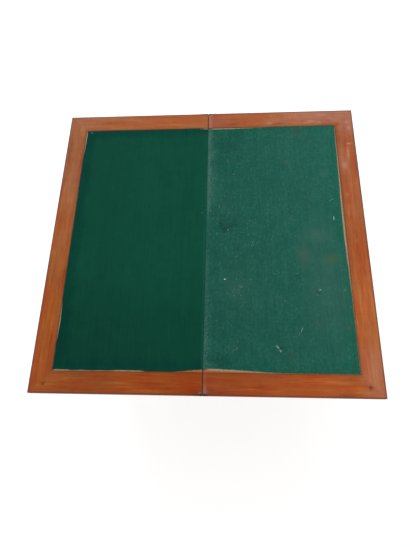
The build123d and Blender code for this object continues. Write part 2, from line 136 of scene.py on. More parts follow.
class MetalColours(bpy.types.PropertyGroup):
    brass: colour("Tarnish", "Dark skin on the brass", (0.076, 0.040, 0.030))
    bright: colour("Rubbed brass", "Brass where it is rubbed", (0.520, 0.390, 0.260))
    iron: colour("Iron", "Dark iron of the pivot", (0.090, 0.082, 0.078))
    shine: colour("Rubbed iron", "Iron where it is rubbed", (0.360, 0.340, 0.320))


# The camera, fitted to the photograph, and the stage, in metres
CAMERA_PLACE = (0.07438319, -0.50832916, 1.80011575)
CAMERA_TURN = tuple(math.radians(angle) for angle in (20.60835136, 3.55110379, 1.23092821))
CAMERA_LENS, CAMERA_SENSOR = 27.49994, 36.0
CAMERA_REACH = (0.01, 100.0)
FLOOR_SIZE = 40.0
LAMP_PLACE, LAMP_AIM, LAMP_SIZE = (-0.25, 1.75, 2.45), (0.0, 0.1, 0.74), (1.9, 1.3)


class StageLook(bpy.types.PropertyGroup):
    lens: bpy.props.FloatProperty(
        name="Lens", description="Focal length", default=CAMERA_LENS, unit="CAMERA"
    )
    eye: bpy.props.FloatVectorProperty(
        name="Eye", description="Where the camera stands", default=CAMERA_PLACE, unit="LENGTH"
    )
    turn: bpy.props.FloatVectorProperty(
        name="Turn", description="How the camera is turned", default=CAMERA_TURN, subtype="EULER"
    )
    daylight: share("Daylight", "Strength of the light from all round", 0.74, 4.0)
    lamp: bpy.props.FloatProperty(
        name="Lamp", description="Power of the soft lamp", default=25.0, min=0.0, unit="POWER"
    )
    floor: colour("Floor", "Colour of the floor", (0.80, 0.80, 0.80))
    whiter: share("Whiter floor", "Added to the floor where the camera sees it", 0.47, 2.0)


class TableLook(bpy.types.PropertyGroup):
    cloth: bpy.props.PointerProperty(type=ClothSizes)
    lint: bpy.props.PointerProperty(type=LintSizes)
    wood: bpy.props.PointerProperty(type=WoodColours)
    baize: bpy.props.PointerProperty(type=ClothColours)
    metal: bpy.props.PointerProperty(type=MetalColours)
    stage: bpy.props.PointerProperty(type=StageLook)


# Finishes: one material each, its nodes wired by short calls
class Wiring:
    """The nodes of one material or world."""

    def __init__(self, owner):
        owner.use_nodes = True
        self.nodes, self.links = owner.node_tree.nodes, owner.node_tree.links
        self.nodes.clear()

    def plug(self, socket, value):
        if isinstance(value, bpy.types.NodeSocket):
            self.links.new(value, socket)
        elif socket.type == "RGBA" and len(value) == 3:
            socket.default_value = (*value, 1.0)
        else:
            socket.default_value = value

    def node(self, kind, inputs=None, **settings):
        made = self.nodes.new("ShaderNode" + kind)
        for key, value in settings.items():
            setattr(made, key, value)
        for key, value in (inputs or {}).items():
            self.plug(made.inputs[key], value)
        return made

    def sums(self, how, *values):
        return self.node("Math", dict(enumerate(values)), operation=how).outputs["Value"]


class Finish(Wiring):
    """A surface's material: shades, fades and noises are wired up and handed to done()."""

    def __init__(self, name, **sockets):
        self.material = bpy.data.materials.new(name)
        super().__init__(self.material)
        given = {key.replace("_", " "): value for key, value in sockets.items()}
        self.shader = self.node("BsdfPrincipled", given)
        self.node("OutputMaterial", {"Surface": self.shader.outputs["BSDF"]})
        self.place = self.node("TexCoord").outputs["Object"]
        self.x, self.y, self.z = self.node("SeparateXYZ", {"Vector": self.place}).outputs

    def vector(self, how, *values):
        made = self.node("VectorMath", dict(enumerate(values)), operation=how)
        return made.outputs["Value" if how == "LENGTH" else "Vector"]

    def fade(self, value, start, end, low=0.0, high=1.0):
        """Eases from low to high as value goes from start to end."""
        given = {"Value": value, "From Min": start, "From Max": end, "To Min": low, "To Max": high}
        return self.node("MapRange", given, interpolation_type="SMOOTHSTEP").outputs["Result"]

    def fade_mm(self, place, start, end, low=0.0, high=1.0):
        """The same along a place, its start and end in millimetres."""
        return self.fade(place, start * MM, end * MM, low, high)

    def mix(self, amount, first, second, how="MIX"):
        """Blends two colours, which go to the node's sockets 6 and 7."""
        given = {0: amount, 6: first, 7: second}
        return self.node("Mix", given, data_type="RGBA", blend_type=how).outputs[2]

    def laid(self, shade, tone, *amounts):
        """The shade with a tone laid over it, by all amounts multiplied."""
        return self.mix(self.times(*amounts), shade, tone)

    def scaled(self, tone, amount):
        made = self.node("VectorMath", {"Vector": tone, "Scale": amount}, operation="SCALE")
        return made.outputs["Vector"]

    def weighed(self, *pairs):
        """The sum of all weights times their values."""
        total = 0.0
        for weight, value in pairs:
            total = self.sums("MULTIPLY_ADD", value, weight, total)
        return total

    def times(self, *values):
        total = values[0]
        for value in values[1:]:
            total = self.sums("MULTIPLY", total, value)
        return total

    def size_of(self, value):
        return self.sums("ABSOLUTE", value)

    def noise(self, per_metre, seed=0.0, detail=2.0, rough=0.5, twist=0.0, at=None):
        moved = self.vector("MULTIPLY_ADD", at or self.place, per_metre, (seed, seed * 1.7, seed * 0.6))
        given = {"Vector": moved, "Scale": 1.0, "Detail": detail, "Roughness": rough, "Distortion": twist}
        return self.node("TexNoise", given).outputs[0]

    def ramp(self, value, *stops):
        made = self.node("ValToRGB", {"Fac": value})
        bar = made.color_ramp.elements
        for element, (at, tone) in ((bar[0], stops[0]), (bar[1], stops[-1])):
            element.position, element.color = at, (*tone, 1.0)
        for at, tone in stops[1:-1]:
            bar.new(at).color = (*tone, 1.0)
        return made.outputs["Color"]

    def tones(self, value, *points):
        """A colour that follows points of (place, colour) along value."""
        low, high = points[0][0], points[-1][0]
        part = self.node("MapRange", {"Value": value, "From Min": low, "From Max": high}).outputs["Result"]
        return self.ramp(part, *(((at - low) / (high - low), tone) for at, tone in points))

    def graph(self, value, *points):
        """A number that follows points of (place, number) along value."""
        return self.tones(value, *((at, (number,) * 3) for at, number in points))

    def spot(self, x, y, wide, deep, ragged=None, edge=0.3):
        """1 in the middle of an oval patch at x, y in millimetres, fading to 0 at its rim."""
        away = self.vector("SUBTRACT", self.place, (x * MM, y * MM, TOP))
        away = self.vector("LENGTH", self.vector("DIVIDE", away, (wide * MM, deep * MM, 1.0)))
        if ragged is not None:
            away = self.weighed((1.0, away), (1.2, ragged), (-0.6, 1.0))
        return self.fade(away, 1.0, edge)

    def relief(self, height, distance, strength=1.0):
        given = {"Height": height, "Distance": distance, "Strength": strength}
        return self.node("Bump", given).outputs["Normal"]

    def done(self, tone, rough=None, normal=None):
        for name, value in (("Base Color", tone), ("Roughness", rough), ("Normal", normal)):
            if value is not None:
                self.plug(self.shader.inputs[name], value)
        return self.material


def put_on(node, material):
    """Gives a CAD node's slots the material."""
    piece = NODES[node]
    if not piece.material_slots:
        piece.data.materials.append(material)
    for slot in piece.material_slots:
        slot.material = material


# Which of a piece's axes run with the grain and across it, by the axis that the grain follows
GRAIN = {"X": "xyz", "Y": "yxz", "Z": "zxy"}


def grain_of(f, along):
    """The place on a piece, turned so that its first number runs with the grain."""
    turned = {axis: getattr(f, letter) for axis, letter in zip("XYZ", GRAIN[along])}
    return f.node("CombineXYZ", turned).outputs["Vector"]


def mahogany(name, along, seed, wood, tint=(1.0, 1.0, 1.0), marks=None, shine=0.22):
    """Old polished mahogany, its grain running along one axis."""
    f = Finish(name, Specular_IOR_Level=shine)
    grain = grain_of(f, along)
    drift = f.noise((3.2, 14, 14), seed, 2, 0.5, 0.4, grain)
    bands = f.noise((9, 90, 90), seed + 3, 4, 0.60, 0.35, grain)
    streaks = f.noise((15, 330, 330), seed + 7, 4, 0.66, 0.0, grain)
    ribbon = f.noise((30, 20, 20), seed + 11, 3, 0.55, 0.3, grain)
    tone = f.weighed((0.20, drift), (0.40, bands), (0.32, streaks), (0.14, ribbon), (-0.03, 1.0))
    stops = ((0.36, wood.deep), (0.45, wood.red), (0.54, wood.warm), (0.66, wood.light))
    shade = f.ramp(tone, *((at, tuple(a * b for a, b in zip(c, tint))) for at, c in stops))
    hue = f.fade(f.noise((9, 44, 44), seed + 29, 4, 0.60, 0.3, grain), 0.38, 0.62)
    shade = f.mix(1.0, shade, f.mix(hue, (1.0, 0.85, 0.72), (0.98, 1.08, 1.10)), "MULTIPLY")
    pores = f.fade(f.noise((230, 2600, 2600), seed + 17, 2, 0.5, 0.0, grain), 0.60, 0.74)
    shade = f.laid(shade, (0.060, 0.012, 0.005), pores, 0.45)
    grime = f.fade(f.noise((26, 26, 26), seed + 23, 5, 0.6), 0.52, 0.74)
    shade = f.laid(shade, (0.120, 0.032, 0.012), grime, 0.13)
    rough = f.weighed((0.32, 1.0), (0.16, streaks), (0.10, grime))
    if marks:
        shade, rough = marks(f, shade, rough)
    normal = f.relief(f.weighed((-1.0, pores), (0.35, streaks), (0.25, bands)), 0.12 * MM, 0.5)
    return f.done(shade, rough, normal)


def frame_wear(f, shade, rough):
    """Knocked feet, painted shade under the top and dull patches on the frame's polish."""
    knocks = f.fade(f.noise((46, 46, 80), 91.0, 4, 0.6), 0.54, 0.68)
    low = f.fade_mm(f.z, 150, 15)
    shade = f.laid(shade, (0.070, 0.024, 0.013), knocks, low, 0.50)
    rubbed = f.fade(f.noise((70, 70, 34), 95.0, 4, 0.65), 0.60, 0.72)
    shade = f.laid(shade, (0.420, 0.190, 0.105), rubbed, f.fade_mm(f.z, 130, 30, 0.22, 0.62))
    # Painted shade: the frame is painted darker towards its top, under the overhanging top.
    dirt = f.fade(f.z, UNDERSIDE - 16 * MM, UNDERSIDE - 1 * MM)
    shade = f.laid(shade, (0.085, 0.028, 0.015), dirt, 0.42)
    dull = f.fade(f.noise((7, 7, 9), 98.0, 3, 0.55), 0.48, 0.64)
    shade = f.laid(shade, (0.330, 0.120, 0.070), dull, 0.16)
    return shade, f.weighed((1.0, rough), (0.12, dull), (0.14, rubbed))


def show_wear(f, shade, rough):
    """Fine scratches and dull bloom on the table's closed top, which is the flap's underside."""
    bloom = f.fade(f.noise((8, 6, 8), 101.0, 4, 0.6), 0.46, 0.66)
    shade = f.laid(shade, (0.420, 0.180, 0.120), bloom, 0.20)
    lengthways = f.noise((700, 34, 700), 104.0, 3, 0.6)
    crossways = f.noise((40, 620, 700), 108.0, 3, 0.6)
    scratch = f.fade(f.sums("MAXIMUM", lengthways, crossways), 0.66, 0.72)
    shade = f.laid(shade, (0.560, 0.300, 0.200), scratch, 0.26)
    return shade, f.weighed((1.0, rough), (0.12, bloom), (0.16, scratch))


def bare_timber(name, along, seed, tone, dark, marks=None):
    """Plain unpolished timber with its rings, dust and a few darker streaks."""
    f = Finish(name, Specular_IOR_Level=0.15)
    grain = grain_of(f, along)
    rings = f.noise((1.6, 46, 46), seed, 3, 0.55, 0.6, grain)
    fine = f.noise((12, 520, 520), seed + 5, 3, 0.6, 0.0, grain)
    age = f.noise((9, 9, 9), seed + 9, 4, 0.6)
    sharp = f.fade(rings, 0.42, 0.60)
    light = tuple(min(1.0, c * 1.15) for c in tone)
    shade = f.mix(sharp, light, tuple(c * 0.78 for c in tone))
    shade = f.mix(f.fade(fine, 0.52, 0.72, 0.0, 0.55), shade, dark)
    shade = f.mix(f.fade(age, 0.45, 0.72, 0.0, 0.55), shade, dark)
    rough = f.weighed((0.72, 1.0), (0.14, fine))
    if marks:
        shade, rough = marks(f, shade, rough)
    return f.done(shade, rough, f.relief(f.weighed((0.7, fine), (0.4, rings)), 0.15 * MM, 0.5))


def polish_over(f, shade):
    """Brown polish run over the near hinge plates' inner edges and the flap plate's end."""
    inner_edge = f.fade(f.y, 2.2 * MM - END_Y, 3.4 * MM - END_Y, 0.0, 0.75)
    over = f.sums("MAXIMUM", f.fade_mm(f.x, 13, 17), inner_edge)
    return f.laid(shade, (0.170, 0.050, 0.022), over, 0.9)


def tarnished(name, seed, skin, bright, rough=0.44, rubbed=0.5, marks=None):
    """Metal under a dark skin, rubbed bright in places and scratched."""
    f = Finish(name, Metallic=1.0)
    cloud = f.noise((120, 120, 120), seed, 5, 0.6)
    fine = f.noise((900, 900, 900), seed + 4, 3, 0.6)
    scratch = f.noise((2600, 160, 900), seed + 8, 2, 0.5)
    worn = f.times(f.fade(cloud, 0.50, 0.72), f.fade(fine, 0.35, 0.65), rubbed)
    worn = f.sums("MAXIMUM", worn, f.times(f.fade(scratch, 0.66, 0.74), 0.5 * rubbed))
    spotted = f.mix(f.fade(fine, 0.45, 0.70, 0.0, 0.5), skin, tuple(c * 0.45 for c in skin))
    shade = f.mix(worn, spotted, bright)
    if marks:
        shade = marks(f, shade)
    dull = f.weighed((rough, 1.0), (0.22, fine), (-0.14, worn))
    normal = f.relief(f.weighed((0.5, cloud), (0.5, fine)), 0.06 * MM, 0.6)
    return f.done(shade, dull, normal)


# Marks that the years have left on the leaves' borders
def edges_and_mitre(f, shade, side, dirt_and_shade):
    """Dirt and painted shade along the cloth, painted shade on the outer edges, the mitre's hairline and the
    bare underside.
    """
    ax, ay = f.size_of(f.x), f.size_of(f.y)
    across, outer, inner = (ax, SIDE_X, FIELD_X) if side else (ay, END_Y, FIELD_Y)
    # Painted shade: the outer edges and faces are painted darker, most near the top, where the arris and
    # face turn from the light.
    rim = f.fade(across, outer - 5.6 * MM, outer - 1.4 * MM)
    worn = f.noise((40, 40, 40), 12.0, 3, 0.55)
    # Dirt beside the cloth, which is partly a painted shadow of the border's inner edge.
    dirt = f.fade(across, inner + 4.2 * MM, inner + 0.6 * MM)
    dirt = f.times(dirt, f.fade(worn, 0.30, 0.62, 0.55, 1.0))
    shadow = f.fade(across, inner + 13 * MM, inner + 2 * MM)
    rim = f.times(rim, f.fade(f.z, TOP - 9 * MM, TOP - 2 * MM, 0.60, 1.0))
    shade = f.laid(shade, (0.105, 0.046, 0.034), rim, 0.66)
    shade = f.laid(shade, (0.080, 0.026, 0.014), shadow, 0.16)
    shade = f.laid(shade, (0.070, 0.024, 0.013), dirt, dirt_and_shade)
    joint = f.size_of(f.weighed((1.0, ax), (-1.0, ay), (END_Y - SIDE_X, 1.0)))
    shade = f.mix(f.fade_mm(joint, 0.6, 0.25, 0.0, 0.13), shade, (0.060, 0.018, 0.010))
    if side:
        return shade
    under = f.fade(f.z, UNDERSIDE + 1.2 * MM, UNDERSIDE + 0.4 * MM)
    return f.laid(shade, (0.090, 0.040, 0.022), under, 0.6)


# Stains round the hinges and wear beside them, in millimetres: x, y, half width, half depth
HINGE_STAINS = {
    ("flap", "far"): (9, 431, 11, 9), ("flap", "near"): (10, -431, 15, 9),
    ("fixed", "far"): (-11, 431, 16, 10), ("fixed", "near"): (-12, -430, 20, 12),
}
HINGE_WEAR = {"flap": (7, -420, 10, 15), "fixed": (-6, -424, 7, 6)}


def seam_end(f, shade, rough, leaf, part):
    """The flap's rubbed arris and the turning leaf's darker one at the seam, painted shade along the seam's
    edge, and the stain round the hinge.
    """
    far = part == "far"
    blotch = f.noise((150, 150, 150), 5.0 if far else 9.0, 4, 0.6)
    if leaf == "flap":
        arris = f.fade_mm(f.x, 18, 3) if far else f.fade_mm(f.x, 12, 6)
        arris = f.times(arris, f.fade(blotch, 0.25, 0.60, 0.35, 1.0))
        amount = 0.60 if far else f.weighed((0.16, 1.0), (0.30, f.fade_mm(f.y, -395, -415)))
        shade = f.laid(shade, (0.360, 0.180, 0.125), arris, amount)
        if far:
            shade = f.laid(shade, (0.33, 0.14, 0.10), f.spot(22, 402, 62, 46, blotch, 0.0), 0.16)
        else:
            shade = f.laid(shade, (0.36, 0.12, 0.060), f.spot(30, -404, 44, 26, blotch, 0.0), 0.20)
        seam_edge_shade = f.fade_mm(f.x, 2.0, 0.9)
    else:
        arris = f.times(f.fade_mm(f.x, -6, -2), f.fade(blotch, 0.35, 0.65, 0.2, 0.8))
        shade = f.laid(shade, (0.150, 0.070, 0.045), arris, 0.35)
        seam_edge_shade = f.fade_mm(f.size_of(f.x), 2.8, 0.9)
    # Painted shade: both leaves are painted dark brown right at the seam, where the gap between them falls
    # into shade.
    shade = f.laid(shade, (0.240, 0.066, 0.024), seam_edge_shade, 0.80)
    rough = f.sums("MAXIMUM", rough, f.times(seam_edge_shade, 0.8))
    stain = f.spot(*HINGE_STAINS[leaf, part], blotch)
    if far:
        return f.laid(shade, (0.100, 0.060, 0.052), stain, 0.75), rough
    shade = f.laid(shade, (0.075, 0.036, 0.026), stain, 0.72)
    return f.laid(shade, (0.270, 0.150, 0.115), f.spot(*HINGE_WEAR[leaf], blotch), 0.42), rough


# Bloom in the polish, partly a painted sheen towards the far corners, and scuffs in the polish, in
# millimetres: x, y, half width, half depth, amount
BLOOM_AND_SHEEN = {
    "flap": (
        (330, 425, 150, 62, 0.52), (425, 395, 62, 92, 0.46), (428, -384, 58, 112, 0.34),
        (402, 245, 30, 62, 0.18),
    ),
    "fixed": ((-420, 400, 120, 130, 0.16), (-420, 215, 60, 160, 0.13)),
}
SCUFFS = (
    (423, 305, 11, 5, 0.66), (418, 272, 7, 34, 0.52), (404, 228, 12, 22, 0.46), (428, 363, 10, 15, 0.40),
    (425, 385, 14, 9, 0.34), (402, 130, 8, 13, 0.24), (400, 70, 6, 17, 0.22), (413, -15, 5, 11, 0.20),
    (318, 391, 26, 7, 0.36), (342, 388, 10, 5, 0.34), (296, 386, 7, 5, 0.38), (189, 387, 15, 8, 0.42),
    (352, 416, 30, 12, 0.24),
)


def rail_stain(f, shade):
    """Brown polish and dirt beside the near rail, on the groundwork by the seam."""
    reach = f.graph(
        f.size_of(f.x), (0.0, 0.0052), (0.03, 0.0047), (0.07, 0.0032), (0.12, 0.0020), (0.16, 0.0)
    )
    uneven = f.noise((120, 120, 120), 87.0, 3, 0.6)
    beyond = f.weighed((1.0, f.y), (-1.0, reach), (1.6 * MM, uneven), (FIELD_Y - 0.8 * MM, 1.0))
    return f.mix(f.fade_mm(beyond, 0.7, -0.7, 0.0, 0.92), shade, (0.380, 0.112, 0.034))


# The scratch across the flap's side board: a place on it, how it slopes and where it begins
SCRATCH_X, SCRATCH_Y, SCRATCH_SLOPE, SCRATCH_FROM = 415 * MM, 317 * MM, 0.05, (388, 396)


def cross_scratch(f, shade):
    """A dark scratch across the flap's side board, towards its far end."""
    beyond = f.weighed((1.0, f.y), (SCRATCH_SLOPE, f.x), (-SCRATCH_Y - SCRATCH_SLOPE * SCRATCH_X, 1.0))
    cross = f.times(f.fade_mm(f.size_of(beyond), 1.3, 0.3), f.fade_mm(f.x, *SCRATCH_FROM))
    return f.laid(shade, (0.085, 0.026, 0.014), cross, 0.32)


# The peg's hole, which the peg mirrors, and a smudge on each near rail, in millimetres
HOLE_X, HOLE_Y = 406, -405.5
SMUDGES = {"flap": ((352, -425, 56, 8), 0.42), "fixed": ((-250, -400, 60, 20), 0.20)}


def peg_and_smudge(f, shade, leaf, cloud, fine):
    """The dark ring round the peg or its hole, the hole's bare inside, painted pale to lift the hole's
    shade, and the rail's smudge.
    """
    flap = leaf == "flap"
    x = HOLE_X if flap else -HOLE_X
    ring = f.spot(x, HOLE_Y, 9.5, 9.5, fine, 0.40)
    shade = f.laid(shade, (0.120, 0.042, 0.022), ring, 0.30 if flap else 0.24)
    # Painted light: the inside of the hole is painted pale, so that its depth reads less dark.
    below = f.fade(f.z, TOP - 0.3 * MM, TOP - 0.9 * MM)
    shade = f.laid(shade, (0.560, 0.250, 0.130), f.spot(x, HOLE_Y, 4.4, 4.4, None, 0.95), below)
    place, amount = SMUDGES[leaf]
    return f.laid(shade, (0.110, 0.050, 0.022), f.spot(*place, cloud, 0.0), amount)


def board_marks(wood, leaf, part, tones):
    """The marks of one border board; those of a leaf run on over its mitres."""
    side, flap, far = part == "stile", leaf == "flap", part == "far"

    def marks(f, shade, rough):
        cloud = f.noise((60, 60, 60), 31.0, 4, 0.6)
        fine = f.noise((420, 420, 420), 37.0, 4, 0.65)
        # The tones along the board: partly its own colour, partly a painted sheen on the far and right
        # boards.
        along = f.tones(f.y if side else f.x, *((at * MM, tone) for at, tone in tones))
        shade = f.mix(1.0, shade, along, "MULTIPLY")
        if not side:
            shade, rough = seam_end(f, shade, rough, leaf, part)
        # Pinkish patches: bloom in the polish, partly a painted sheen where the boards catch the far light.
        for *place, amount in BLOOM_AND_SHEEN[leaf]:
            patch = f.times(f.spot(*place, cloud, 0.2), amount)
            shade = f.mix(patch, shade, wood.bloom)
            rough = f.weighed((1.0, rough), (0.25, patch))
        if flap:
            grainy = f.fade(fine, 0.36, 0.64, 0.15, 1.0)
            for *place, amount in SCUFFS:
                shade = f.laid(shade, wood.scuff, f.spot(*place, fine, 0.0), grainy, amount)
        if flap and side:
            shade = cross_scratch(f, shade)
        if not flap and far:
            # Pinkish streaks on the turning leaf's far board, partly a painted sheen.
            pink = f.fade(f.noise((5, 60, 60), 44.0, 3, 0.5), 0.46, 0.60)
            shade = f.laid(shade, wood.bloom, pink, f.fade(cloud, 0.30, 0.60), 0.14)
        if part == "near":
            shade = peg_and_smudge(f, shade, leaf, cloud, fine)
        return edges_and_mitre(f, shade, side, 0.26 if flap and far else 0.52), rough

    return marks


# How light the turning leaf's cloth is painted, partly its dust and partly a painted sheen of its nap, and
# how rubbed the cloths are at the seam, as (metres, share)
SHEEN_AND_DUST_ALONG = ((-0.374, 0.94), (-0.34, 0.84), (-0.25, 0.85), (-0.12, 1.01), (0.10, 1.00), (0.374, 0.97))
SHEEN_AND_DUST_ACROSS = ((-0.387, 0.92), (-0.28, 0.93), (-0.16, 1.00), (-0.05, 1.00), (0.0, 1.02))
RUBBED_SEAM = ((-0.374, 0.46), (-0.10, 0.42), (0.10, 0.34), (0.20, 0.28), (0.28, 0.10), (0.374, 0.08))
WORN_SEAM = (
    (-0.374, 0.42), (-0.33, 0.54), (-0.25, 0.36), (-0.15, 0.26), (-0.06, 0.27), (0.0, 0.05), (0.05, 0.16),
    (0.10, 0.50), (0.20, 0.84), (0.34, 0.86), (0.374, 0.52),
)


def baize(name, seed, look, leaf):
    """Napped wool cloth: fresher along the border, played and dusty inside it, with painted sheen and light
    across the leaves.
    """
    sizes, greens = look.cloth, look.baize
    flap = leaf == "flap"
    f = Finish(
        name, Roughness=0.96, Specular_IOR_Level=0.02, Sheen_Weight=0.04, Sheen_Roughness=0.55,
        Sheen_Tint=(0.25, 0.60, 0.46, 1.0),
    )
    cloud = f.noise((9, 9, 9), seed, 4, 0.55)
    patch = f.noise((34, 30, 30), seed + 3, 4, 0.6)
    brushed = f.noise((240, 7, 60), seed + 6, 3, 0.6)
    cross = f.noise((8, 200, 60), seed + 9, 2, 0.6)
    grit = f.noise((430, 430, 430), seed + 12, 3, 0.6)
    nap = f.noise((1700, 1300, 1500), seed + 15, 3, 0.6)
    ax, ay = f.size_of(f.x), f.size_of(f.y)
    inset = f.sums("MINIMUM", f.sums("SUBTRACT", FIELD_X, ax), f.sums("SUBTRACT", FIELD_Y, ay))
    inset = f.weighed((1.0, inset), (30 * MM, patch), (-15 * MM, 1.0))
    inside = f.fade(inset, sizes.kept_margin - 13 * MM, sizes.kept_margin + 13 * MM)
    mottle = f.noise((150, 120, 130), seed + 18, 4, 0.65)
    if leaf == "well":
        shade = greens.lining
        changes = ((0.22, cloud), (0.22, patch), (0.16, brushed), (0.22, grit), (0.30, nap))
    elif flap:
        kept = tuple(a * b for a, b in zip(greens.faded, (0.76, 0.98, 0.92)))
        shade = f.mix(inside, kept, greens.faded)
        lit = f.graph(f.x, (0.0, 0.92), (0.09, 0.93), (0.19, 1.0), (0.30, 1.06), (0.386, 1.16))
        shade = f.scaled(shade, lit)
        shade = f.mix(f.fade_mm(f.x, 20, 300, 0.0, 0.045), shade, greens.dust)
        changes = (
            (0.16, cloud), (0.30, patch), (0.44, mottle), (0.50, brushed), (0.10, cross), (0.30, grit),
            (0.30, nap),
        )
    else:
        shade = f.mix(inside, greens.kept, greens.played)
        changes = (
            (0.14, cloud), (0.24, patch), (0.20, mottle), (0.36, brushed), (0.14, grit), (0.24, nap),
        )
        # Painted sheen of the nap, with some dust: the turning leaf's cloth is painted lighter and darker
        # along and across it.
        shade = f.scaled(shade, f.times(f.graph(f.y, *SHEEN_AND_DUST_ALONG), f.graph(f.x, *SHEEN_AND_DUST_ACROSS)))
        rubbed = f.graph(f.y, *RUBBED_SEAM)
        shade = f.laid(shade, greens.faded, f.fade_mm(f.x, -9, -0.5), rubbed)
    level = f.weighed(*changes, (1.0 - 0.5 * sum(weight for weight, _ in changes), 1.0))
    shade = f.scaled(shade, level)
    if flap:
        shade = flap_dust(f, shade, greens, patch, grit, mottle)
    height = f.weighed((0.65, nap), (0.25, grit), (0.10, brushed))
    return f.done(shade, None, f.relief(height, 0.35 * MM, 0.55))


# Stains in the flap's cloth, and one painted shadow beside lint, in millimetres: x, y, half width, half
# depth, tone, amount
BROWN, OLIVE = (0.050, 0.072, 0.044), (0.080, 0.112, 0.050)
PALE, DARK = (0.110, 0.165, 0.140), (0.008, 0.050, 0.036)
STAINS = (
    (270, 353, 26, 26, (0.040, 0.075, 0.058), 0.62), (341, -69, 36, 22, OLIVE, 0.46),
    (235, 244, 17, 12, OLIVE, 0.28), (268, -58, 32, 52, (0.070, 0.110, 0.085), 0.46),
    (305, 5, 60, 40, PALE, 0.22), (68, 34, 34, 28, DARK, 0.40),
    (316, 60, 34, 46, (0.030, 0.115, 0.092), 0.40),
    (372, -253, 16, 16, BROWN, 0.30), (297, -250, 22, 10, BROWN, 0.28), (223, -326, 18, 12, BROWN, 0.36),
    (344, 200, 24, 20, PALE, 0.16), (80, -158, 52, 48, PALE, 0.09), (40, -345, 46, 24, DARK, 0.45),
    (60, 300, 50, 40, DARK, 0.34), (198, -312, 10, 8, DARK, 0.6), (90, -40, 16, 12, DARK, 0.4),
    (300, -165, 12, 6, DARK, 0.5), (75, 320, 80, 70, DARK, 0.20), (330, -150, 90, 200, PALE, 0.13),
    (45, 60, 50, 60, DARK, 0.14), (30, -97, 12, 10, DARK, 0.4), (95, -150, 130, 250, PALE, 0.035),
    (55, 95, 60, 70, PALE, 0.035), (70, 268, 75, 36, DARK, 0.14), (42, 41, 11, 21, DARK, 0.72),
    # The dark spot at 57, 22 is painted shadow round the lint at 62, 22.
    (57, 22, 18, 13, DARK, 0.85), (79, 39, 9, 9, DARK, 0.55),
)


def flap_dust(f, shade, greens, patch, grit, mottle):
    """Dust, stains and the worn line along the seam of the flap's cloth."""
    speck = f.times(f.fade(grit, 0.60, 0.74), f.fade(patch, 0.30, 0.66, 0.15, 1.0))
    near_seam = f.fade_mm(f.x, 170, 10, 0.25, 0.75)
    shade = f.laid(shade, greens.dust, speck, near_seam, 0.60)
    film = f.times(f.fade(mottle, 0.46, 0.66), f.fade(patch, 0.36, 0.62, 0.3, 1.0))
    shade = f.laid(shade, greens.dust, film, 0.16)
    worn = f.graph(f.y, *WORN_SEAM)
    line = f.times(f.fade_mm(f.x, 12.5, 4.5), f.fade_mm(f.x, 0.5, 6, 0.62, 1.0))
    fuzz = f.fade(f.noise((300, 90, 200), 71.0, 4, 0.65), 0.34, 0.62, 0.35, 1.0)
    shade = f.laid(shade, (0.105, 0.215, 0.180), line, worn, fuzz, 0.37)
    dots = f.times(f.fade(f.noise((380, 260, 300), 76.0, 3, 0.6), 0.54, 0.62), f.fade_mm(f.x, 26, 5))
    shade = f.laid(shade, (0.140, 0.290, 0.230), dots, f.fade(worn, 0.0, 0.6), 0.46)
    veil = f.times(f.fade_mm(f.x, 46, 6), f.fade(worn, 0.2, 0.8), f.fade(patch, 0.36, 0.60, 0.3, 1.0))
    shade = f.laid(shade, greens.dust, veil, 0.13)
    for x, y, wide, deep, tone, amount in STAINS:
        shade = f.laid(shade, tone, f.spot(x, y, wide, deep, mottle, 0.0), amount)
    return shade


# Small helps for the modelling
def nothing_selected():
    active = bpy.context.view_layer.objects.active
    if active and active.mode != "OBJECT":
        bpy.ops.object.mode_set(mode="OBJECT")
    bpy.ops.object.select_all(action="DESELECT")


def take(*pieces):
    nothing_selected()
    for piece in pieces:
        piece.select_set(True)
    bpy.context.view_layer.objects.active = pieces[0]


def settle(piece, name):
    """Names a piece and lets its mesh hold its place."""
    take(piece)
    bpy.ops.object.transform_apply(location=True, rotation=True, scale=True)
    piece.name = piece.data.name = name
    return piece


def in_edit_mode(piece, *steps):
    """Runs mesh operators on the whole of a piece; a step is an operator and what it is given."""
    take(piece)
    bpy.ops.object.mode_set(mode="EDIT")
    for step, given in steps:
        bpy.ops.mesh.select_all(action="SELECT")
        step(**given)
    bpy.ops.object.mode_set(mode="OBJECT")


def between(points, place):
    """Number at place on a smooth line through points of (place, number)."""
    if place <= points[0][0]:
        return points[0][1]
    for (a, low), (b, high) in zip(points, points[1:]):
        if place <= b:
            part = (place - a) / (b - a)
            return low + (high - low) * (part * part * (3 - 2 * part))
    return points[-1][1]


def spread(total, ends=0.55):
    """Shares from 0 to 1, closer together towards both ends."""
    parts = [i / total for i in range(total + 1)]
    return [(1 - ends) * s + ends * (1 - math.cos(math.pi * s)) / 2 for s in parts]


def woven_grid(columns, rows, place):
    """A grid whose crossing i, j goes where place(i, j) says."""
    nothing_selected()
    bpy.ops.mesh.primitive_grid_add(x_subdivisions=columns, y_subdivisions=rows, size=1.0)
    piece = bpy.context.object
    if len(piece.data.vertices) != (columns + 1) * (rows + 1):
        raise RuntimeError("the grid has other crossings than were asked for")
    for vertex in piece.data.vertices:
        vertex.co = place(round((vertex.co.x + 0.5) * columns), round((vertex.co.y + 0.5) * rows))
    return piece


def as_cloth(piece, thickness, rounding):
    """Gives a grid the cloth's thickness, downwards, and soft edges."""
    body = piece.modifiers.new("Thickness", "SOLIDIFY")
    body.thickness, body.offset = thickness, -1.0
    soft = piece.modifiers.new("Soft edge", "BEVEL")
    soft.width, soft.segments = rounding, 2
    soft.limit_method, soft.angle_limit = "ANGLE", math.radians(50)
    take(piece)
    for modifier in (body, soft):
        bpy.ops.object.modifier_apply(modifier=modifier.name)
    bpy.ops.object.shade_smooth_by_angle(angle=math.radians(40))


def wander(place, seed):
    """Between -1 and 1: the drift of a hand-cut, frayed edge."""
    slow = noise.noise(Vector((place * 26, seed, 0.3)))
    quick = noise.noise(Vector((place * 150, seed, 7.1)))
    return 0.9 * slow + 0.8 * quick


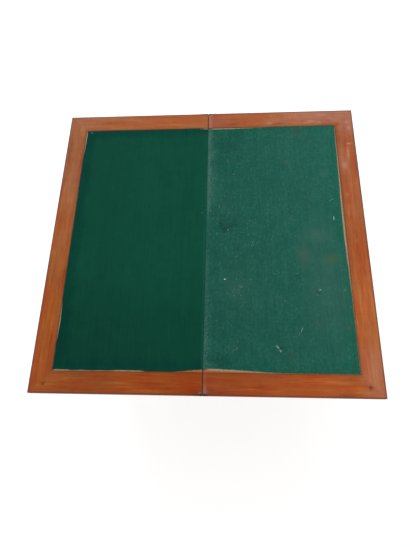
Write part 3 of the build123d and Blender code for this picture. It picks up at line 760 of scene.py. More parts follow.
# How far each cloth has shrunk from the border, in millimetres: (place along the edge, gap)
SHRUNK = {
    "fixed_leaf": {
        "side": (
            (-372, 0.8), (-300, 0.6), (-284, 2.0), (-245, 3.4), (-205, 1.8), (-185, 0.4), (280, 0.4),
            (304, 1.8), (330, 3.2), (358, 3.4), (373, 2.6),
        ),
        "far": ((-386, 1.2), (-360, 0.5), (-70, 0.3), (-32, 0.5), (-21, 2.3), (-1, 3.0)),
        "near": (
            (-386, 2.0), (-380, 3.7), (-350, 3.5), (-338, 1.9), (-312, 2.8), (-288, 1.8), (-262, 2.4),
            (-240, 1.9), (-214, 3.6), (-190, 3.4), (-160, 3.2), (-144, 0.8), (-80, 0.6), (-58, 2.4),
            (-36, 4.6), (-18, 6.2), (-5, 7.6), (-1, 7.8),
        ),
    },
    "flap": {
        "side": (
            (-372, 1.0), (-300, 1.2), (-180, 1.6), (-150, 2.0), (-110, 3.2), (-60, 4.6), (0, 5.9),
            (40, 5.8), (110, 5.4), (150, 4.4), (200, 3.6), (300, 2.4), (362, 1.7), (373, 0.8),
        ),
        "far": ((1, 3.2), (20, 4.6), (70, 4.4), (125, 3.4), (160, 2.0), (196, 0.9), (240, 0.4), (386, 0.4)),
        "near": (
            (1, 9.6), (8, 10.0), (30, 9.8), (62, 8.2), (102, 6.4), (128, 5.0), (160, 2.6), (200, 1.4),
            (300, 1.0), (386, 1.2),
        ),
    },
}
LEAST_GAP, CLOTH_ROUNDING, SEAM_WANDER = 0.15 * MM, 0.28 * MM, 0.10 * MM
# The cloths' meshes: columns beside the seam in millimetres from it, how many follow, and the rows
SEAM_COLUMNS, MORE_COLUMNS, ROWS = (0.0, 0.9, 2.2, 4.0, 6.5, 9.5), 104, 176
# An edge curls up where its gap is wider than LOOSE_GAP, fully at LOOSE_RISE more, and over CURL_REACH
LOOSE_GAP, LOOSE_RISE, CURL_REACH = 1.2 * MM, 2.2 * MM, 9 * MM


def gap_at(leaf, edge, place):
    return between(SHRUNK[leaf][edge], place / MM) * MM


def cloth_edges(leaf, sizes):
    """Functions that give the cloth's outer, far and near edges."""
    seed = 3.0 if leaf == "flap" else 11.0

    def drawn_in(edge, place, shift):
        return max(LEAST_GAP, gap_at(leaf, edge, place) + sizes.ragged * wander(place, seed + shift))

    def outer(y):
        return FIELD_X - drawn_in("side", y, 0)

    def far(x):
        return FIELD_Y - drawn_in("far", x, 2)

    def near(x):
        return drawn_in("near", x, 5) - FIELD_Y

    return outer, far, near


def lay_cloth(leaf, sizes):
    """Models one leaf's cloth in its sunk field, wavy, shrunken and turned down at the seam."""
    sign = 1.0 if leaf == "flap" else -1.0
    outer, far, near = cloth_edges(leaf, sizes)
    first = [column * MM / FIELD_X for column in SEAM_COLUMNS]
    across = first + [first[-1] + (1 - first[-1]) * part for part in spread(MORE_COLUMNS)[1:]]
    rows = spread(ROWS)

    def place(i, j):
        part = across[i] if sign > 0 else across[len(across) - 1 - i]
        x = sign * (sizes.seam_reach + part * (FIELD_X - sizes.seam_reach))
        y = -FIELD_Y + rows[j] * 2 * FIELD_Y
        seam = sizes.seam_reach
        z = CLOTH_HIGH[2] + sizes.ripple * (0.5 + 0.5 * noise.noise(Vector((x * 11, y * 8, 4.0 * sign))))
        z += 0.4 * sizes.ripple * noise.noise(Vector((x * 60, y * 45, 9.0)))
        if part == 0:
            seam += SEAM_WANDER * noise.noise(Vector((y * 70, 1.5, sign)))
            z -= sizes.turn_down
        moved_x = seam + part * (outer(y) - seam)
        moved_y = near(x) + rows[j] * (far(x) - near(x))
        for gap, depth in (
            (gap_at(leaf, "side", y), outer(y) - moved_x), (gap_at(leaf, "far", x), far(x) - moved_y),
            (gap_at(leaf, "near", x), moved_y - near(x)),
        ):
            loose = min(1.0, max(0.0, (gap - LOOSE_GAP) / LOOSE_RISE))
            z += sizes.curl * loose * max(0.0, 1 - depth / CURL_REACH) ** 2
        return Vector((sign * moved_x, moved_y, z))

    piece = woven_grid(len(across) - 1, len(rows) - 1, place)
    as_cloth(piece, sizes.thickness, CLOTH_ROUNDING)
    return piece


def tube(points, radius):
    """A thread through points, thinner at its ends: a curve with a square section, made a mesh."""
    nothing_selected()
    bpy.ops.curve.primitive_bezier_curve_add()
    thread = bpy.context.object
    line = thread.data.splines[0].bezier_points
    line.add(len(points) - 2)
    for i, (knot, point) in enumerate(zip(line, points)):
        knot.co = point
        knot.handle_left_type = knot.handle_right_type = "AUTO"
        knot.radius = 0.35 if i in (0, len(points) - 1) else 1.0
    thread.data.bevel_depth, thread.data.bevel_resolution = radius, 0
    thread.data.resolution_u = 4
    thread.data.use_fill_caps = True
    bpy.ops.object.convert(target="MESH")
    return bpy.context.object


def joined(pieces, name):
    take(*pieces)
    if len(pieces) > 1:
        bpy.ops.object.join()
    return settle(bpy.context.object, name)


def placing(place, turn, lean, size):
    """Where one small copy goes: its place, its turn and lean, and its size along each axis."""
    turned = Matrix.Translation(place) @ Matrix.Rotation(turn, 4, "Z")
    return turned @ Matrix.Rotation(lean, 4, "Y") @ Matrix.Diagonal((*size, 1))


def scattered(template, placings, name):
    """Copies of a small template, one at each placing, in one piece."""
    base = [v.co.copy() for v in template.data.vertices]
    faces = [tuple(p.vertices) for p in template.data.polygons]
    points, polygons = [], []
    for placed in placings:
        start = len(points)
        points += [placed @ co for co in base]
        polygons += [tuple(start + i for i in face) for face in faces]
    mesh = bpy.data.meshes.new(name)
    mesh.from_pydata(points, [], polygons)
    mesh.update()
    bpy.data.objects.remove(template)
    piece = bpy.data.objects.new(name, mesh)
    bpy.context.scene.collection.objects.link(piece)
    take(piece)
    bpy.ops.object.shade_smooth()
    return piece


def small_fibre():
    """One worn fibre a unit long: a thin bar, drawn out to a point at each end."""
    nothing_selected()
    bpy.ops.mesh.primitive_cylinder_add(vertices=4, radius=0.5, depth=1.0, rotation=(0, math.pi / 2, 0))
    fibre = settle(bpy.context.object, "small_fibre")
    cuts = ({"plane_co": (x, 0, 0), "plane_no": (1, 0, 0)} for x in (-0.25, 0.0, 0.25))
    in_edit_mode(fibre, *((bpy.ops.mesh.bisect, cut) for cut in cuts))
    for vertex in fibre.data.vertices:
        thinner = 1 - 1.5 * abs(vertex.co.x)
        vertex.co.y *= thinner
        vertex.co.z *= thinner
    return fibre


def small_crumb():
    """One crumb a unit across: a lumpy flattened grain."""
    nothing_selected()
    bpy.ops.mesh.primitive_ico_sphere_add(subdivisions=1, radius=0.5)
    crumb = settle(bpy.context.object, "small_crumb")
    for vertex in crumb.data.vertices:
        vertex.co *= 1 + 0.35 * noise.noise(vertex.co * 5)
        vertex.co.z *= 0.55
    return crumb


class CARDTABLE_OT_stage(bpy.types.Operator):
    """Set the floor, the light and the camera"""

    bl_idname = "card_table.stage"
    bl_label = "Set the stage"

    def execute(self, context):
        look = context.scene.card_table.stage
        context.scene.view_settings.view_transform = "Standard"
        nothing_selected()
        bpy.ops.mesh.primitive_plane_add(size=FLOOR_SIZE)
        floor = context.object
        floor.name = "floor"
        floor.data.materials.append(self.pale_floor(look))
        context.scene.world = self.soft_daylight(look)

        nothing_selected()
        bpy.ops.object.light_add(type="AREA", location=LAMP_PLACE)
        lamp = context.object
        lamp.name = "soft_lamp"
        lamp.data.shape = "RECTANGLE"
        lamp.data.size, lamp.data.size_y = LAMP_SIZE
        lamp.data.energy = look.lamp
        lamp.rotation_euler = (Vector(LAMP_AIM) - lamp.location).to_track_quat("-Z", "Y").to_euler()

        bpy.ops.object.camera_add(location=look.eye, rotation=look.turn)
        camera = context.object
        camera.data.lens, camera.data.sensor_width = look.lens, CAMERA_SENSOR
        camera.data.clip_start, camera.data.clip_end = CAMERA_REACH
        context.scene.camera = camera
        return {"FINISHED"}

    @staticmethod
    def seen(web):
        """1 where the camera, a reflection or a clear piece looks at the ground, else 0."""
        path = web.node("LightPath").outputs
        most = path["Is Camera Ray"]
        for name in ("Is Glossy Ray", "Is Transmission Ray"):
            most = web.sums("MAXIMUM", most, path[name])
        return most

    def pale_floor(self, look):
        """A matt floor that keeps the shadow and looks white where it is seen."""
        pale = bpy.data.materials.new("pale_floor")
        web = Wiring(pale)
        matt = web.node("BsdfDiffuse", {"Color": look.floor})
        glow = web.node("Emission", {"Strength": web.sums("MULTIPLY", self.seen(web), look.whiter)})
        both = web.node("AddShader", {0: matt.outputs[0], 1: glow.outputs[0]})
        web.node("OutputMaterial", {"Surface": both.outputs[0]})
        return pale

    def soft_daylight(self, look):
        """Even light from all round, white where it is seen."""
        world = bpy.data.worlds.new("soft_daylight")
        web = Wiring(world)
        sky, white = (
            web.node("Background", {"Color": (1.0, 1.0, 1.0), "Strength": strength}).outputs[0]
            for strength in (look.daylight, 1.0)
        )
        chosen = web.node("MixShader", {0: self.seen(web), 1: sky, 2: white})
        web.node("OutputWorld", {"Surface": chosen.outputs[0]})
        return world


# Border boards: grain, seed and tones along each, as (place in millimetres, tint); the tones are partly the
# wood's own and partly a painted sheen that lightens the far and right boards
BOARDS = {
    "fixed_side_stile": ("Y", 2.0, (
        (-380, (1.05, 1.10, 1.15)), (-200, (1.06, 1.20, 1.12)), (0, (1.11, 1.45, 2.13)),
        (200, (0.94, 1.23, 1.74)), (380, (0.90, 1.14, 1.15)),
    )),
    "flap_side_stile": ("Y", 26.0, (
        (-380, (1.44, 1.96, 3.30)), (-200, (1.40, 1.64, 2.29)), (0, (1.16, 1.36, 2.01)),
        (200, (1.16, 1.50, 2.81)), (380, (1.00, 1.07, 1.66)),
    )),
    "fixed_far_rail": ("X", 9.0, (
        (-384, (0.91, 1.13, 1.33)), (-264, (1.02, 1.31, 1.21)), (-140, (1.05, 1.04, 0.53)),
        (-20, (0.99, 1.12, 0.58)),
    )),
    "fixed_near_rail": ("X", 17.0, (
        (-384, (1.02, 1.12, 1.20)), (-264, (0.94, 0.97, 0.92)), (-140, (1.06, 0.98, 0.62)),
        (-20, (0.92, 0.61, 0.23)),
    )),
    "flap_far_rail": ("X", 33.0, (
        (20, (0.96, 0.87, 0.75)), (140, (1.08, 1.27, 1.42)), (264, (1.13, 1.58, 3.12)),
        (384, (1.05, 1.25, 2.23)),
    )),
    "flap_near_rail": ("X", 41.0, (
        (20, (0.87, 0.67, 0.51)), (140, (1.12, 1.07, 1.11)), (264, (1.29, 1.13, 1.08)),
        (384, (1.33, 1.46, 1.66)),
    )),
}


class CARDTABLE_OT_polish_borders(bpy.types.Operator):
    """Give the leaves' border boards their old mahogany polish"""

    bl_idname = "card_table.polish_borders"
    bl_label = "Polish the borders"

    def execute(self, context):
        look = context.scene.card_table
        wood = look.wood
        for node, (along, seed, tones) in BOARDS.items():
            leaf, _, part = node.partition("_")
            marks = board_marks(wood, leaf, part.replace("side_", "").replace("_rail", ""), tones)
            put_on(node, mahogany("mahogany_" + node, along, seed, wood, marks=marks, shine=0.10))
        peg = mahogany("mahogany_peg", "Z", 51.0, wood, (0.86, 0.82, 0.95), shine=0.10)
        put_on("locating_peg", peg)
        veneer = mahogany("mahogany_show_veneer", "Y", 57.0, wood, (0.92, 0.90, 0.95), show_wear)
        put_on("flap_show_veneer", veneer)
        for node, seed in (("fixed_seam_lipping", 61.0), ("flap_seam_lipping", 64.0)):
            marks = self.woolly(look, node.startswith("fixed"))
            put_on(node, mahogany("mahogany_" + node, "Y", seed, wood, (0.70, 0.72, 0.9), marks))
        return {"FINISHED"}

    @staticmethod
    def woolly(look, left):
        """Old glue on the lippings' tops, wool dust caked on their seam faces, and grime and painted shade
        on those faces.
        """
        brown = (0.300, 0.160, 0.095) if left else (0.200, 0.078, 0.052)
        pale = (0.320, 0.190, 0.120) if left else look.wood.glue
        field = CLOTH_LOW[2]

        def marks(f, shade, rough):
            away = f.size_of(f.x)
            crust = f.fade(f.noise((160, 160, 160), 83.0, 5, 0.65), 0.42, 0.68)
            glue = f.mix(f.fade_mm(away, 7, 14), brown, pale)
            glue = f.laid(glue, (0.130, 0.070, 0.040), crust, 0.5)
            if left:
                glue = f.mix(f.fade_mm(f.y, 350, 362), glue, (0.560, 0.440, 0.290))
            glue = rail_stain(f, glue)
            top = f.fade(f.z, field - 0.3 * MM, field - 0.1 * MM)
            high = f.fade(f.z, field - 3.4 * MM, field - 1.6 * MM)
            caked = f.times(f.fade_mm(away, 2.2, 1.0), high, 0.9)
            # Grime and painted shade: the lippings darken at the seam, inside the gap between the leaves.
            seam_grime_and_shade = f.times(f.fade_mm(away, 1.6, 0.9), f.fade(crust, 0.2, 0.8, 0.30, 0.62))
            shade = f.mix(seam_grime_and_shade, shade, (0.060, 0.030, 0.018))
            shade = f.mix(caked, f.mix(top, shade, glue), look.baize.played)
            return shade, f.sums("MAXIMUM", rough, caked)

        return marks


# The frame's polished pieces and the way their grain runs
FRAME_WOOD = {
    "leg_back_right": "Z", "leg_back_left": "Z", "leg_front_right": "Z", "leg_front_left": "Z",
    "back_rail": "X", "front_rail": "X", "right_end_rail": "Y", "left_end_rail": "Y",
    "back_bead": "X", "front_bead": "X", "right_bead": "Y", "left_bead": "Y",
}


class CARDTABLE_OT_polish_frame(bpy.types.Operator):
    """Polish the legs, rails and beads of the frame"""

    bl_idname = "card_table.polish_frame"
    bl_label = "Polish the frame"

    def execute(self, context):
        wood = context.scene.card_table.wood
        for i, (node, along) in enumerate(FRAME_WOOD.items()):
            tint = (0.84 + 0.02 * (i % 4), 0.80 + 0.02 * (i % 3), 0.90)
            put_on(node, mahogany("mahogany_" + node, along, 70.0 + 6 * i, wood, tint, frame_wear))
        return {"FINISHED"}


# Bare pieces: the way their grain runs and their timber
INSIDE_WOOD = {
    "fixed_core_panel": ("Y", "pine"), "flap_core_panel": ("Y", "pine"), "well_floor": ("X", "pine"),
    "back_floor_fillet": ("X", "pine"), "front_floor_fillet": ("X", "pine"),
    "right_floor_fillet": ("Y", "pine"), "left_floor_fillet": ("Y", "pine"),
    "pivot_bearer": ("Y", "oak"), "stop_peg": ("Z", "oak"),
    "fixed_far_mitre_tongue": ("X", "oak"), "fixed_near_mitre_tongue": ("X", "oak"),
    "flap_far_mitre_tongue": ("X", "oak"), "flap_near_mitre_tongue": ("X", "oak"),
}


class CARDTABLE_OT_finish_inside(bpy.types.Operator):
    """Leave the groundwork, well, bearer and tongues bare, with old glue round the cloths"""

    bl_idname = "card_table.finish_inside"
    bl_label = "Finish the inside wood"

    def execute(self, context):
        wood = context.scene.card_table.wood
        field = CLOTH_LOW[2]

        def glued(f, shade, rough):
            crust = f.fade(f.noise((160, 160, 160), 83.0, 5, 0.65), 0.45, 0.70, 0.0, 0.8)
            pale = f.mix(crust, wood.glue, tuple(c * 0.62 for c in wood.glue))
            top = f.fade(f.z, field - 0.3 * MM, field - 0.1 * MM)
            return f.mix(top, shade, rail_stain(f, pale)), rough

        for i, (node, (along, timber)) in enumerate(INSIDE_WOOD.items()):
            tone = getattr(wood, timber)
            dark = tuple(c * (0.42 if timber == "pine" else 0.35) for c in tone)
            marks = glued if "core_panel" in node else None
            put_on(node, bare_timber(f"{timber}_{node}", along, 120.0 + 5 * i, tone, dark, marks))
        return {"FINISHED"}


# Brass pieces and how much each is rubbed, and the iron ones
BRASS = {
    "fixed_far_hinge_plate": 0.25, "fixed_near_hinge_plate": 0.25, "flap_far_hinge_plate": 0.45,
    "flap_near_hinge_plate": 0.8, "far_hinge_link": 0.1, "near_hinge_link": 0.3, "far_hinge_pins": 0.9,
    "near_hinge_pins": 1.0, "pivot_bush": 0.9, "fixed_hinge_screws": 0.8, "flap_hinge_screws": 0.8,
}
IRON = ("pivot_plate", "pivot_plate_screws", "pivot_bolt", "pivot_washer", "pivot_nut", "bearer_screws")


class CARDTABLE_OT_tarnish_metal(bpy.types.Operator):
    """Darken the hinges' brass and the pivot's iron"""

    bl_idname = "card_table.tarnish_metal"
    bl_label = "Tarnish the metal"

    def execute(self, context):
        metal = context.scene.card_table.metal
        for i, (node, rubbed) in enumerate(BRASS.items()):
            marks = polish_over if node.endswith("near_hinge_plate") else None
            skin, bright = metal.brass, metal.bright
            put_on(node, tarnished("brass_" + node, 5.0 * i, skin, bright, 0.42, rubbed, marks))
        for i, node in enumerate(IRON):
            put_on(node, tarnished("iron_" + node, 90 + 5.0 * i, metal.iron, metal.shine, 0.48, 0.5))
        return {"FINISHED"}


class CARDTABLE_OT_lay_cloths(bpy.types.Operator):
    """Lay the two baize cloths in the leaves' sunk fields"""

    bl_idname = "card_table.lay_cloths"
    bl_label = "Lay the leaves' cloths"

    def execute(self, context):
        look = context.scene.card_table
        for leaf, node, seed in (("fixed_leaf", "fixed_baize", 14.0), ("flap", "flap_baize", 27.0)):
            piece = settle(lay_cloth(leaf, look.cloth), node.replace("baize", "cloth"))
            piece.data.materials.append(baize("baize_" + leaf, seed, look, leaf))
            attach(piece, leaf)
            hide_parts(node)
        return {"FINISHED"}


# The lining: its corner notches for the legs, its edge's distance from the rails, and its waves
LINING_NOTCH, LINING_INSET = 22 * MM, 0.8 * MM
LINING_RAGGED, LINING_RIPPLE, LINING_ROUNDING = 0.35 * MM, 0.35 * MM, 0.25 * MM


class CARDTABLE_OT_line_well(bpy.types.Operator):
    """Lay the green lining in the well"""

    bl_idname = "card_table.line_well"
    bl_label = "Line the well"

    def execute(self, context):
        look = context.scene.card_table
        low, high = LINING_LOW, LINING_HIGH
        notch, inset = LINING_NOTCH, LINING_INSET
        xs = [low[0] + inset + (high[0] - notch - low[0] - inset) * s for s in spread(70, 0.3)]
        xs += [high[0] - notch + (notch - inset) * s for s in (0.34, 0.67, 1.0)]
        side = [low[1] + inset + (notch - inset) * s for s in (0.0, 0.33, 0.66, 1.0)]
        middle = [low[1] + notch + (high[1] - low[1] - 2 * notch) * s for s in spread(56, 0.3)]
        ys = side[:-1] + middle + [low[1] + high[1] - y for y in side[-2::-1]]

        def place(i, j):
            x, y = xs[i], ys[j]
            dx = LINING_RAGGED * wander(y, 21.0) if i in (0, len(xs) - 1) else 0.0
            dy = LINING_RAGGED * wander(x, 23.0) if j in (0, len(ys) - 1) else 0.0
            lift = LINING_RIPPLE * (0.5 + 0.5 * noise.noise(Vector((x * 14, y * 10, 2.0))))
            return Vector((x + dx, y + dy, high[2] + lift))

        piece = woven_grid(len(xs) - 1, len(ys) - 1, place)
        self.notch_corners(piece, high[0] - notch, low[1] + notch)
        as_cloth(piece, look.cloth.thickness, LINING_ROUNDING)
        piece = settle(piece, "lining_cloth")
        piece.data.materials.append(baize("baize_lining", 39.0, look, "well"))
        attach(piece, "frame")
        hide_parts("well_lining")
        return {"FINISHED"}

    @staticmethod
    def notch_corners(piece, beyond_x, beyond_y):
        """Takes out the grid's squares at the two right-hand corners."""
        take(piece)
        bpy.ops.object.mode_set(mode="EDIT")
        bpy.ops.mesh.select_all(action="DESELECT")
        bpy.ops.object.mode_set(mode="OBJECT")
        for face in piece.data.polygons:
            x, y, _ = face.center
            face.select = x > beyond_x and (y < beyond_y or y > -beyond_y)
        bpy.ops.object.mode_set(mode="EDIT")
        bpy.ops.mesh.select_mode(type="FACE")
        bpy.ops.mesh.delete(type="FACE")
        bpy.ops.object.mode_set(mode="OBJECT")


# Bits of lint on the cloths, in millimetres: x, y, length, width, turn in degrees, threads
LINT = (
    (54, -127, 6.0, 2.7, 8, 7), (358, 54, 13, 1.7, 88, 5), (356, 114, 15, 0.65, 32, 3),
    (251, -264, 16, 0.6, 68, 2), (143, -19, 6, 0.5, 15, 3), (62, 22, 6, 0.8, 60, 3),
    (84, -62, 11, 0.45, 38, 2), (120, 5, 6, 0.45, -30, 2), (358, 124, 9, 0.4, -25, 2),
    (36, 96, 5, 0.5, 70, 2), (150, -205, 6, 0.4, 10, 2), (250, -110, 9, 0.45, 25, 2),
)
TUFTS = (
    (188, -309, 13, 3.6, -58, 16), (195, -319, 8, 3.8, -45, 16), (305, -157, 10, 3.4, 8, 18),
    (369, -157, 9, 1.0, 86, 3), (245, -272, 12, 0.6, 68, 2),
)
WISPS = (
    (378, -205, 9, 3.0, -70, 10), (85, -314, 10, 4.2, 60, 10), (78, -318, 8, 3.0, -20, 8),
    (274, -343, 7, 2.8, 20, 10), (136, 364, 8, 2.2, -10, 10), (255, -108, 9, 0.8, 30, 3),
    (246, -116, 7, 0.7, 10, 2), (100, -345, 7, 0.9, 70, 3), (55, 318, 6, 1.6, 20, 8),
    (140, 196, 5, 1.4, 0, 8), (213, -188, 9, 4.0, 0, 10), (185, 0, 7, 3.0, 30, 10),
    (296, -170, 12, 5.0, -30, 10), (96, -150, 12, 6.0, 20, 9), (130, -20, 9, 4.0, 60, 8),
    (60, 250, 9, 3.0, -40, 8), (79, 205, 7, 4.0, 40, 18),
)
LEFT_BITS = ((-369, 367, 7, 1.6, 10, 5), (-13, 76, 3.5, 1.3, 20, 4), (-176, 106, 2.6, 0.6, 15, 2))
# Up to TIGHT_THREADS threads lie close together, and more are loose fluff that stands up a little.
# Of each kind: how its threads scatter in degrees, and their bend and thickness as shares of its size
TIGHT_THREADS = 7
TIGHT, LOOSE = (4, 0.06, 0.30), (26, 0.16, 0.10)
LOOSE_LIFT = 0.25 * MM
# Where crumbs gather on the flap's cloth, in millimetres: x, y, spread along x and y, and their share
DUST_PATCHES = (
    (2, 165, 6, 70, 13), (26, 125, 24, 66, 15), (78, 20, 36, 34, 7), (84, -155, 44, 40, 7),
    (50, -270, 44, 60, 4), (60, 0, 150, 190, 12),
)
CRUMBS_LOW, CRUMBS_HIGH = (0.004, -0.355), (0.367, 0.362)
LEAST_CRUMB, MORE_CRUMB = 0.50 * MM, 1.35 * MM
# How worn the flap's seam edge is, as (place in metres, share), and how far in its fibres lie
SEAM_WEAR = (
    (-0.370, 0.5), (-0.30, 0.7), (-0.20, 0.5), (-0.08, 0.5), (-0.02, 0.15), (0.05, 0.3), (0.10, 0.9),
    (0.34, 1.0), (0.365, 0.4),
)
SEAM_ENDS, FIBRES_FROM, FIBRES_TO = (-0.368, 0.366), 0.8 * MM, 12 * MM
# Frayed threads: length, width, how far in from the cut edge, how deep under the cloth's top, and where
THREAD_LONG, THREAD_WIDE, THREAD_INSET, THREAD_DEPTH = 1.1 * MM, 0.16 * MM, 0.1 * MM, 0.35 * MM
THREADS_ACROSS, THREADS_ALONG = (0.004, 0.378), (-0.36, 0.36)
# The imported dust's section, in millimetres: distance from the seam's middle, and depth under the top
DUST_SECTION = (
    (0.49, 3.75), (0.16, 3.75), (0.05, 4.5), (0.10, 6.2), (0.05, 7.6), (0.16, 8.8), (0.49, 8.8),
    (0.49, 3.75),
)
DUST_TIP, DUST_UNEVEN, DUST_STEPS = (0.42, 6.0), 0.07, 240
DUST_END = END_Y - 3.1 * MM


class CARDTABLE_OT_drop_lint(bpy.types.Operator):
    """Drop lint, worn seam fibres, crumbs and frayed threads, and pack dust in the seam"""

    bl_idname = "card_table.drop_lint"
    bl_label = "Drop the lint"

    def execute(self, context):
        look = context.scene.card_table
        dice = random.Random(5)
        pale = self.fluff("pale_lint", look.baize.thread, 0.30)
        soft = self.fluff("soft_lint", (0.210, 0.385, 0.300), 0.35)
        faint = self.fluff("faint_lint", (0.078, 0.215, 0.165), 0.30)
        specks = self.fluff("specks", (0.160, 0.360, 0.285), 0.45)
        wool = self.fluff("worn_wool", look.baize.dust, 0.55)
        green = self.fluff("green_wool", look.baize.played, 0.60)
        surface = CLOTH_HIGH[2] + look.cloth.ripple
        for leaf, name, bits, material in (
            ("flap", "flap_lint", LINT, pale), ("flap", "flap_tufts", TUFTS, soft),
            ("flap", "flap_wisps", WISPS, faint), ("fixed_leaf", "fixed_lint", LEFT_BITS, soft),
        ):
            threads = [tube(*thread) for bit in bits for thread in self.threads_of(dice, surface, *bit)]
            self.lay(joined(threads, name), leaf, material)
        fibres = self.seam_fibres(dice, look.lint, surface)
        self.lay(scattered(small_fibre(), fibres, "flap_seam_fibres"), "flap", wool)
        crumbs = self.crumbs(dice, look.lint, surface)
        self.lay(scattered(small_crumb(), crumbs, "flap_crumbs"), "flap", specks)
        for leaf in ("fixed_leaf", "flap"):
            threads = self.edge_threads(dice, look, leaf)
            name = leaf.replace("_leaf", "") + "_edge_threads"
            self.lay(scattered(small_fibre(), threads, name), leaf, green)
        for leaf in ("fixed_leaf", "flap"):
            self.lay(self.seam_dust(leaf), leaf, self.packed_dust(leaf))
        return {"FINISHED"}

    @staticmethod
    def lay(piece, leaf, material):
        """Gives a piece its finish and lays it on a leaf."""
        piece.data.materials.append(material)
        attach(piece, leaf)

    @staticmethod
    def fluff(name, tone, unevenness):
        """Matt wool, darker in places."""
        f = Finish(name, Roughness=0.95, Specular_IOR_Level=0.1, Sheen_Weight=0.2)
        uneven = f.noise((700, 700, 700), 3.0, 3, 0.6)
        dark = tuple(c * (1 - unevenness) for c in tone)
        return f.done(f.mix(f.fade(uneven, 0.3, 0.7), dark, tone), None, f.relief(uneven, 0.1 * MM, 0.5))

    @staticmethod
    def packed_dust(leaf):
        """Wool dust between the cloths, and wood dust between the borders; its dark tones also stand in for
        the shade inside the seam.
        """
        f = Finish("packed_dust_" + leaf, Roughness=0.97, Specular_IOR_Level=0.05)
        uneven = f.fade(f.noise((500, 220, 500), 8.0, 4, 0.6), 0.35, 0.65)
        by_wood = f.fade(f.size_of(f.y), FIELD_Y - 12 * MM, FIELD_Y - 4 * MM)
        wool = f.mix(uneven, (0.0075, 0.0340, 0.0225), (0.0190, 0.0580, 0.0420))
        dirt = f.mix(uneven, (0.1500, 0.0450, 0.0180), (0.2600, 0.0950, 0.0420))
        return f.done(f.mix(by_wood, wool, dirt), None, f.relief(uneven, 0.1 * MM))

    @staticmethod
    def seam_dust(leaf):
        """Dust packed in one side of the seam, below the hinge pins and between the hinges: a dark strip
        that closes the seam and stands in for its shade.
        """
        sign = 1.0 if leaf == "flap" else -1.0
        last = len(DUST_SECTION) - 1

        def place(i, j):
            y = -DUST_END + 2 * DUST_END * i / DUST_STEPS
            x, deep = DUST_SECTION[j]
            if 0 < j < last - 1:
                x += DUST_UNEVEN * noise.noise(Vector((y * 190, deep * 0.6, sign * 5)))
            if i in (0, DUST_STEPS):
                x, deep = DUST_TIP
            return Vector((sign * x * MM, y, TOP - deep * MM))

        piece = woven_grid(DUST_STEPS, last, place)
        merge = (bpy.ops.mesh.remove_doubles, {"threshold": 0.00001})
        outwards = (bpy.ops.mesh.normals_make_consistent, {"inside": False})
        in_edit_mode(piece, merge, outwards)
        bpy.ops.object.shade_smooth()
        return settle(piece, leaf.replace("_leaf", "") + "_seam_dust")

    @staticmethod
    def threads_of(dice, surface, x, y, long, wide, turn, threads):
        """The threads of one bit of lint, each as its points and its thickness."""
        loose = threads > TIGHT_THREADS
        scatter, bend, thickness = LOOSE if loose else TIGHT
        radius = thickness * wide * MM
        for i in range(threads):
            angle = math.radians(turn + (dice.gauss(0, scatter) if i else 0))
            reach = 0.5 * long * MM * (dice.uniform(0.45, 1.0) if i else 1.0)
            bow = dice.uniform(-bend, bend) * reach
            along = Vector((math.cos(angle), math.sin(angle), 0))
            sideways = Vector((-along.y, along.x, 0))
            centre = Vector((x * MM, y * MM, 0)) + along * dice.uniform(-0.2, 0.2) * long * MM
            centre += sideways * dice.uniform(-0.5, 0.5) * wide * MM
            points = []
            for part in (-1.0, -0.4, 0.25, 1.0):
                bowed = sideways * bow * (1 - part * part) * dice.uniform(0.6, 1.2)
                point = centre + along * reach * part + bowed
                height = surface + radius * dice.uniform(0.7, 1.2)
                if loose:
                    height += LOOSE_LIFT * dice.random()
                point.z = height
                points.append(point)
            yield points, radius

    @staticmethod
    def seam_fibres(dice, sizes, surface):
        """Placings of the worn fibres, thickest where the seam is most worn."""
        placings = []
        while len(placings) < sizes.seam_fibres:
            y = dice.uniform(*SEAM_ENDS)
            x = 1.5 * MM + abs(dice.gauss(0, 3.6)) * MM
            turn = math.pi / 2 + dice.gauss(0, 0.7)
            long = sizes.fibre_length * dice.uniform(0.5, 1.5)
            wide = sizes.fibre_width * dice.uniform(0.6, 1.3)
            if dice.random() > between(SEAM_WEAR, y) or x > FIBRES_TO:
                continue
            x = max(x, FIBRES_FROM + 0.5 * long * abs(math.cos(turn)))
            lean = dice.uniform(-0.05, 0.05)
            placings.append(placing((x, y, surface + 0.3 * wide), turn, lean, (long, wide, wide)))
        return placings

    @staticmethod
    def crumbs(dice, sizes, surface):
        """Placings of the specks of dust, most of them small."""
        placings = []
        shares = [patch[-1] for patch in DUST_PATCHES]
        for _ in range(sizes.crumbs):
            middle_x, middle_y, wide, deep, _ = dice.choices(DUST_PATCHES, shares)[0]
            x = min(CRUMBS_HIGH[0], CRUMBS_LOW[0] + abs(dice.gauss(middle_x, wide)) * MM)
            y = max(CRUMBS_LOW[1], min(CRUMBS_HIGH[1], dice.gauss(middle_y, deep) * MM))
            across = LEAST_CRUMB + MORE_CRUMB * dice.random() ** 2.3
            turn = dice.uniform(0, 6.28)
            size = (across * dice.uniform(1, 1.8), across, across * 0.8)
            placings.append(placing((x, y, surface + 0.15 * across), turn, 0.0, size))
        return placings

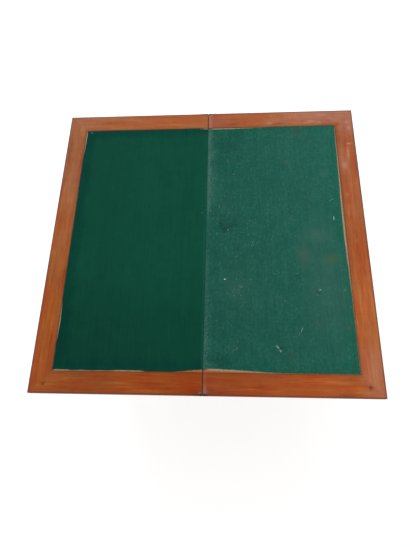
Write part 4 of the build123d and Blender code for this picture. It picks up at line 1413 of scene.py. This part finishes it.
    @staticmethod
    def edge_threads(dice, look, leaf):
        """Placings of the threads that stick out of a cloth's cut edges."""
        outer, far, near = cloth_edges(leaf, look.cloth)
        sign = 1.0 if leaf == "flap" else -1.0
        placings = []
        for _ in range(look.lint.edge_threads):
            edge = dice.choice(("side", "side", "far", "near"))
            long = THREAD_LONG * dice.uniform(0.5, 1.4)
            wide = THREAD_WIDE * dice.uniform(0.7, 1.3)
            y, x = dice.uniform(*THREADS_ALONG), sign * dice.uniform(*THREADS_ACROSS)
            turn, lean = dice.gauss(0, 0.5), dice.uniform(0.05, 0.5)
            if edge == "side":
                x = sign * (outer(y) - THREAD_INSET)
            else:
                y = far(x) - THREAD_INSET if edge == "far" else near(x) + THREAD_INSET
                turn += math.pi / 2
            lean *= dice.choice((-1, 1))
            spot = (x, y, CLOTH_HIGH[2] - THREAD_DEPTH)
            placings.append(placing(spot, turn, lean, (long, wide, wide)))
        return placings


class CARDTABLE_PT_panel(bpy.types.Panel):
    """Lists the steps of dressing the table and its sizes and colours"""

    bl_idname = "CARDTABLE_PT_panel"
    bl_label = "Card table"
    bl_space_type = "VIEW_3D"
    bl_region_type = "UI"
    bl_category = "Card table"

    def draw(self, context):
        look = context.scene.card_table
        for step in STEPS:
            self.layout.operator(step.bl_idname)
        for group in ("cloth", "lint", "wood", "baize", "metal", "stage"):
            part = getattr(look, group)
            rows = self.layout.box()
            rows.label(text=group.capitalize())
            for name in part.__annotations__:
                rows.prop(part, name)


STEPS = (
    CARDTABLE_OT_stage,
    CARDTABLE_OT_polish_borders,
    CARDTABLE_OT_polish_frame,
    CARDTABLE_OT_finish_inside,
    CARDTABLE_OT_tarnish_metal,
    CARDTABLE_OT_lay_cloths,
    CARDTABLE_OT_line_well,
    CARDTABLE_OT_drop_lint,
)
GROUPS = (ClothSizes, LintSizes, WoodColours, ClothColours, MetalColours, StageLook, TableLook)


def register():
    for item in (*GROUPS, *STEPS, CARDTABLE_PT_panel):
        bpy.utils.register_class(item)
    bpy.types.Scene.card_table = bpy.props.PointerProperty(type=TableLook)


def unregister():
    del bpy.types.Scene.card_table
    for item in reversed((*GROUPS, *STEPS, CARDTABLE_PT_panel)):
        bpy.utils.unregister_class(item)


def main():
    register()
    for step in STEPS:
        family, _, name = step.bl_idname.partition(".")
        getattr(getattr(bpy.ops, family), name)()


if __name__ == "__main__":
    main()
